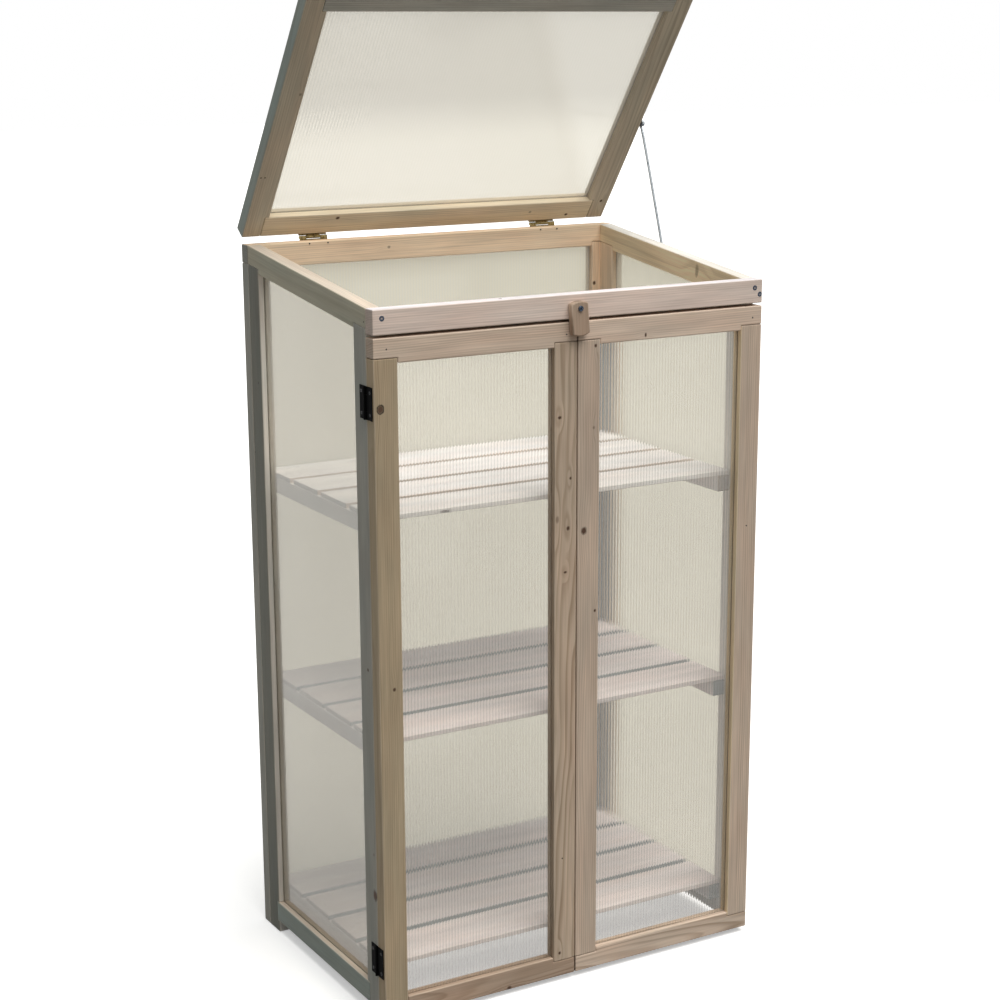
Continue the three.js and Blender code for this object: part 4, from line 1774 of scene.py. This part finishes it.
@dataclass
class Shelf:
    """A slatted shelf: four slats on two bearers.

    Attributes:
        name: the start of its nodes' names.
        streak: the knots in the front slat.
        stain: of all its wood.
        edge: painted shade on the front edges of the slats but the foremost, and on the bearers' front ends,
            where the gaps between them lie in shade.
        slat_thickness: of every slat.
        bearer_width: of each bearer.
        loose_slats: how many lie in front of the rear one.
        edge_round: how much the edges are eased.
    """

    name: str
    streak: tuple[Knot, ...] = ()
    # painted shade: the lower shelves' wood is darker than the top shelf's, and the slats' front edges behind
    # the foremost darker still, where the gaps lie in shade
    stain: Stain = Stain.AGED
    edge: Stain = Stain.MIST
    slat_thickness: float = 8.0
    bearer_width: float = 23.0
    loose_slats: int = 3
    edge_round: float = 1.0

    def build(self, frame: dict, seeds: Iterator[int]) -> None:
        """Dresses the loose slats and builds the rear slat and the bearers apart.

        Args:
            frame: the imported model.
            seeds: a number for each timber.
        """
        for i in range(1, self.loose_slats + 1):
            name = f"{self.name}_slat_{i}"
            knots = self.streak if i == 1 else ()
            self._wood(name, knots, i > 1).dress(frame["nodes"][name], next(seeds))
        solid = f"{self.name}_rear_slat_and_bearers"
        low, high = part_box(solid)
        slat_low, slat_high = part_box(f"{self.name}_slat_1")
        slat_depth = slat_high.y - slat_low.y
        top = high.z - self.slat_thickness * MM
        width = self.bearer_width * MM
        for part, *corners in (
            ("rear_slat", Vector((low.x, high.y - slat_depth, top)), high),
            ("left_bearer", low, Vector((low.x + width, high.y, top))),
            ("right_bearer", Vector((high.x - width, low.y, low.z)), Vector((high.x, high.y, top))),
        ):
            shape = bmesh.new()
            add_box(shape, *corners)
            piece = make_piece(f"{self.name}_{part}", shape, "cabinet", "shelf_fir")
            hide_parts(solid)
            self._wood(piece.name).dress(piece, next(seeds))
        self._nails(high, slat_depth)

    def _wood(self, name: str, knots: tuple[Knot, ...] = (), shaded_front_edge: bool = True) -> Timber:
        """The pale wood of one piece, with or without painted shade on its front edge."""
        faces = (Face(FORWARD, self.edge),) if shaded_front_edge else ()
        return Timber(name, self.stain, (46, 18), (0.008, 0.01), knots, SHELF_FIR, self.edge_round, faces)

    def _nails(self, high: Vector, slat_depth: float) -> None:
        """Drives a nail through each slat into each bearer.

        Args:
            high: the shelf's highest corner, in metres.
            slat_depth: from a slat's front edge to its back edge, in metres.
        """
        slats = [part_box(f"{self.name}_slat_{i + 1}") for i in range(self.loose_slats)]
        middles = [((low.y + top.y) / 2, top.z) for low, top in slats]
        middles.append((high.y - slat_depth / 2, high.z))
        x = abs(high.x) - self.bearer_width * MM / 2
        places = [(Vector((side * x, y, z)), Z_AXIS) for y, z in middles for side in (-1, 1)]
        Fasteners(f"{self.name}_nails", places).build()


@dataclass
class Studio:
    """A pale floor, soft light and the photograph's camera.

    Attributes:
        eye: the camera's place, in metres.
        azimuth: which way it looks, in degrees from +Y towards +X.
        pitch: how far down it looks, in degrees.
        focal_pixels: focal length in pixels of the photograph.
        optical_centre: the pixel that the camera looks at straight.
        frame_pixels: the photograph's width.
        sensor_width: of the camera.
        key_from: the way to the key lamp.
        key_strength: of the key lamp, in watts per square metre.
        key_spread: how wide the key lamp looks, in degrees.
        key_tone: of the key lamp.
        sky_strength: of the light from all round.
        sky_tone: of that light.
        floor_reach: from the middle of the floor to its edge, in metres.
        floor_drop: how far the floor lies below the feet.
        floor_tone: of the floor, as it is seen.
        floor_bounce: the darker tone with which it lights the object.
        floor_glow: what lifts the floor to white where no shadow falls.
    """

    eye: Point = (-1.66885, -2.91678, 1.5532)
    azimuth: float = 30.83
    pitch: float = 14.32
    focal_pixels: float = 2068.4
    optical_centre: Pair = (538.4, 540.2)
    frame_pixels: float = 1000.0
    sensor_width: float = 36.0
    key_from: Point = (0.14, -0.37, 0.93)
    key_strength: float = 3.05
    key_spread: float = 50.0
    key_tone: str = "#FFFCF8"
    sky_strength: float = 0.46
    sky_tone: str = "#E0E5E5"
    floor_reach: float = 25.0
    floor_drop: float = 0.5
    floor_tone: str = "#F0F0F0"
    floor_bounce: str = "#625E58"
    floor_glow: float = 0.4

    def build(self) -> None:
        """Makes the camera, the lamp, the world and the floor."""
        self._camera()
        self._key()
        self._world()
        self._floor()
        bpy.context.scene.view_settings.view_transform = "Standard"

    def _camera(self) -> None:
        """Sets the camera where the photographer stood."""
        data = bpy.data.cameras.new("photograph_camera")
        data.sensor_width = self.sensor_width
        data.lens = self.focal_pixels * self.sensor_width / self.frame_pixels
        half = self.frame_pixels / 2
        data.shift_x = (half - self.optical_centre[0]) / self.frame_pixels
        data.shift_y = (self.optical_centre[1] - half) / self.frame_pixels
        data.clip_start, data.clip_end = 0.05, 60.0
        camera = put_in_scene("photograph_camera", data)
        camera.location = self.eye
        turn, down = math.radians(self.azimuth), math.radians(self.pitch)
        level = math.cos(down)
        look = Vector((math.sin(turn) * level, math.cos(turn) * level, -math.sin(down)))
        camera.rotation_euler = look.to_track_quat("-Z", "Y").to_euler()
        bpy.context.scene.camera = camera

    def _key(self) -> None:
        """Hangs a broad soft lamp high on the right, so far off that it falls evenly."""
        data = bpy.data.lights.new("key_lamp", "SUN")
        data.energy = self.key_strength
        data.angle = math.radians(self.key_spread)
        data.color = to_linear(self.key_tone)[:3]
        lamp = put_in_scene("key_lamp", data)
        lamp.rotation_euler = Vector(self.key_from).to_track_quat("Z", "Y").to_euler()

    def _seen_directly(self, add: Adder) -> Socket:
        """One for rays from the camera, from gloss and from glass, else zero.

        Args:
            add: adds a node to the world or the floor.

        Returns:
            One or zero.
        """
        camera, gloss, glass = (
            add("LightPath", out=f"Is {ray} Ray") for ray in ("Camera", "Glossy", "Transmission")
        )
        seen = add("Math", camera, gloss, operation="MAXIMUM")
        return add("Math", seen, glass, operation="MAXIMUM")

    def _world(self) -> None:
        """White to look at, with a dimmer and cooler light on the object."""
        world = bpy.data.worlds.new("studio")
        world.use_nodes = True
        world.node_tree.nodes.clear()
        add = partial(add_node, world.node_tree)
        seen = add("Background", (1, 1, 1, 1), 1.0)
        light = add("Background", to_linear(self.sky_tone), self.sky_strength)
        add("OutputWorld", add("MixShader", self._seen_directly(add), light, seen))
        bpy.context.scene.world = world

    def _floor(self) -> None:
        """Lays a pale floor that keeps the greenhouse's shadow."""
        shape = bmesh.new()
        bmesh.ops.create_grid(shape, x_segments=8, y_segments=8, size=self.floor_reach)
        floor = put_in_scene("studio_floor", shape)
        floor.location.z = -self.floor_drop * MM
        material, add = new_material("white_paper_floor")
        seen = self._seen_directly(add)
        tones = {6: to_linear(self.floor_bounce), 7: to_linear(self.floor_tone)}
        lit = add("BsdfDiffuse", add("Mix", seen, tones, **TONES))
        glow = add("Emission", (1, 1, 1, 1), add("Math", seen, self.floor_glow, operation="MULTIPLY"))
        add("OutputMaterial", add("AddShader", lit, glow))
        floor.data.materials.append(material)


def main() -> None:
    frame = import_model()
    Studio().build()
    seeds = count(3)
    for part in (Cabinet(), left_door(), right_door(), Lid()):
        part.build(frame, seeds)
        LOG.info("%s done", type(part).__name__)
    LidStay().build()
    TurnButton().build(next(seeds))
    streak = Knot((-211.0, -195.0, 812.0), 2.4, KnotKind.TIGHT, 4.0)
    for shelf in (
        # the top shelf, which gets the most light, has paler tones of wood and of painted shade at its edges
        Shelf("top_shelf", (streak,), Stain.BARE, Stain.FAWN),
        Shelf("middle_shelf"),
        Shelf("bottom_shelf"),
    ):
        shelf.build(frame, seeds)


if __name__ == "__main__":
    logging.basicConfig(level=logging.INFO, format="%(message)s")
    main()
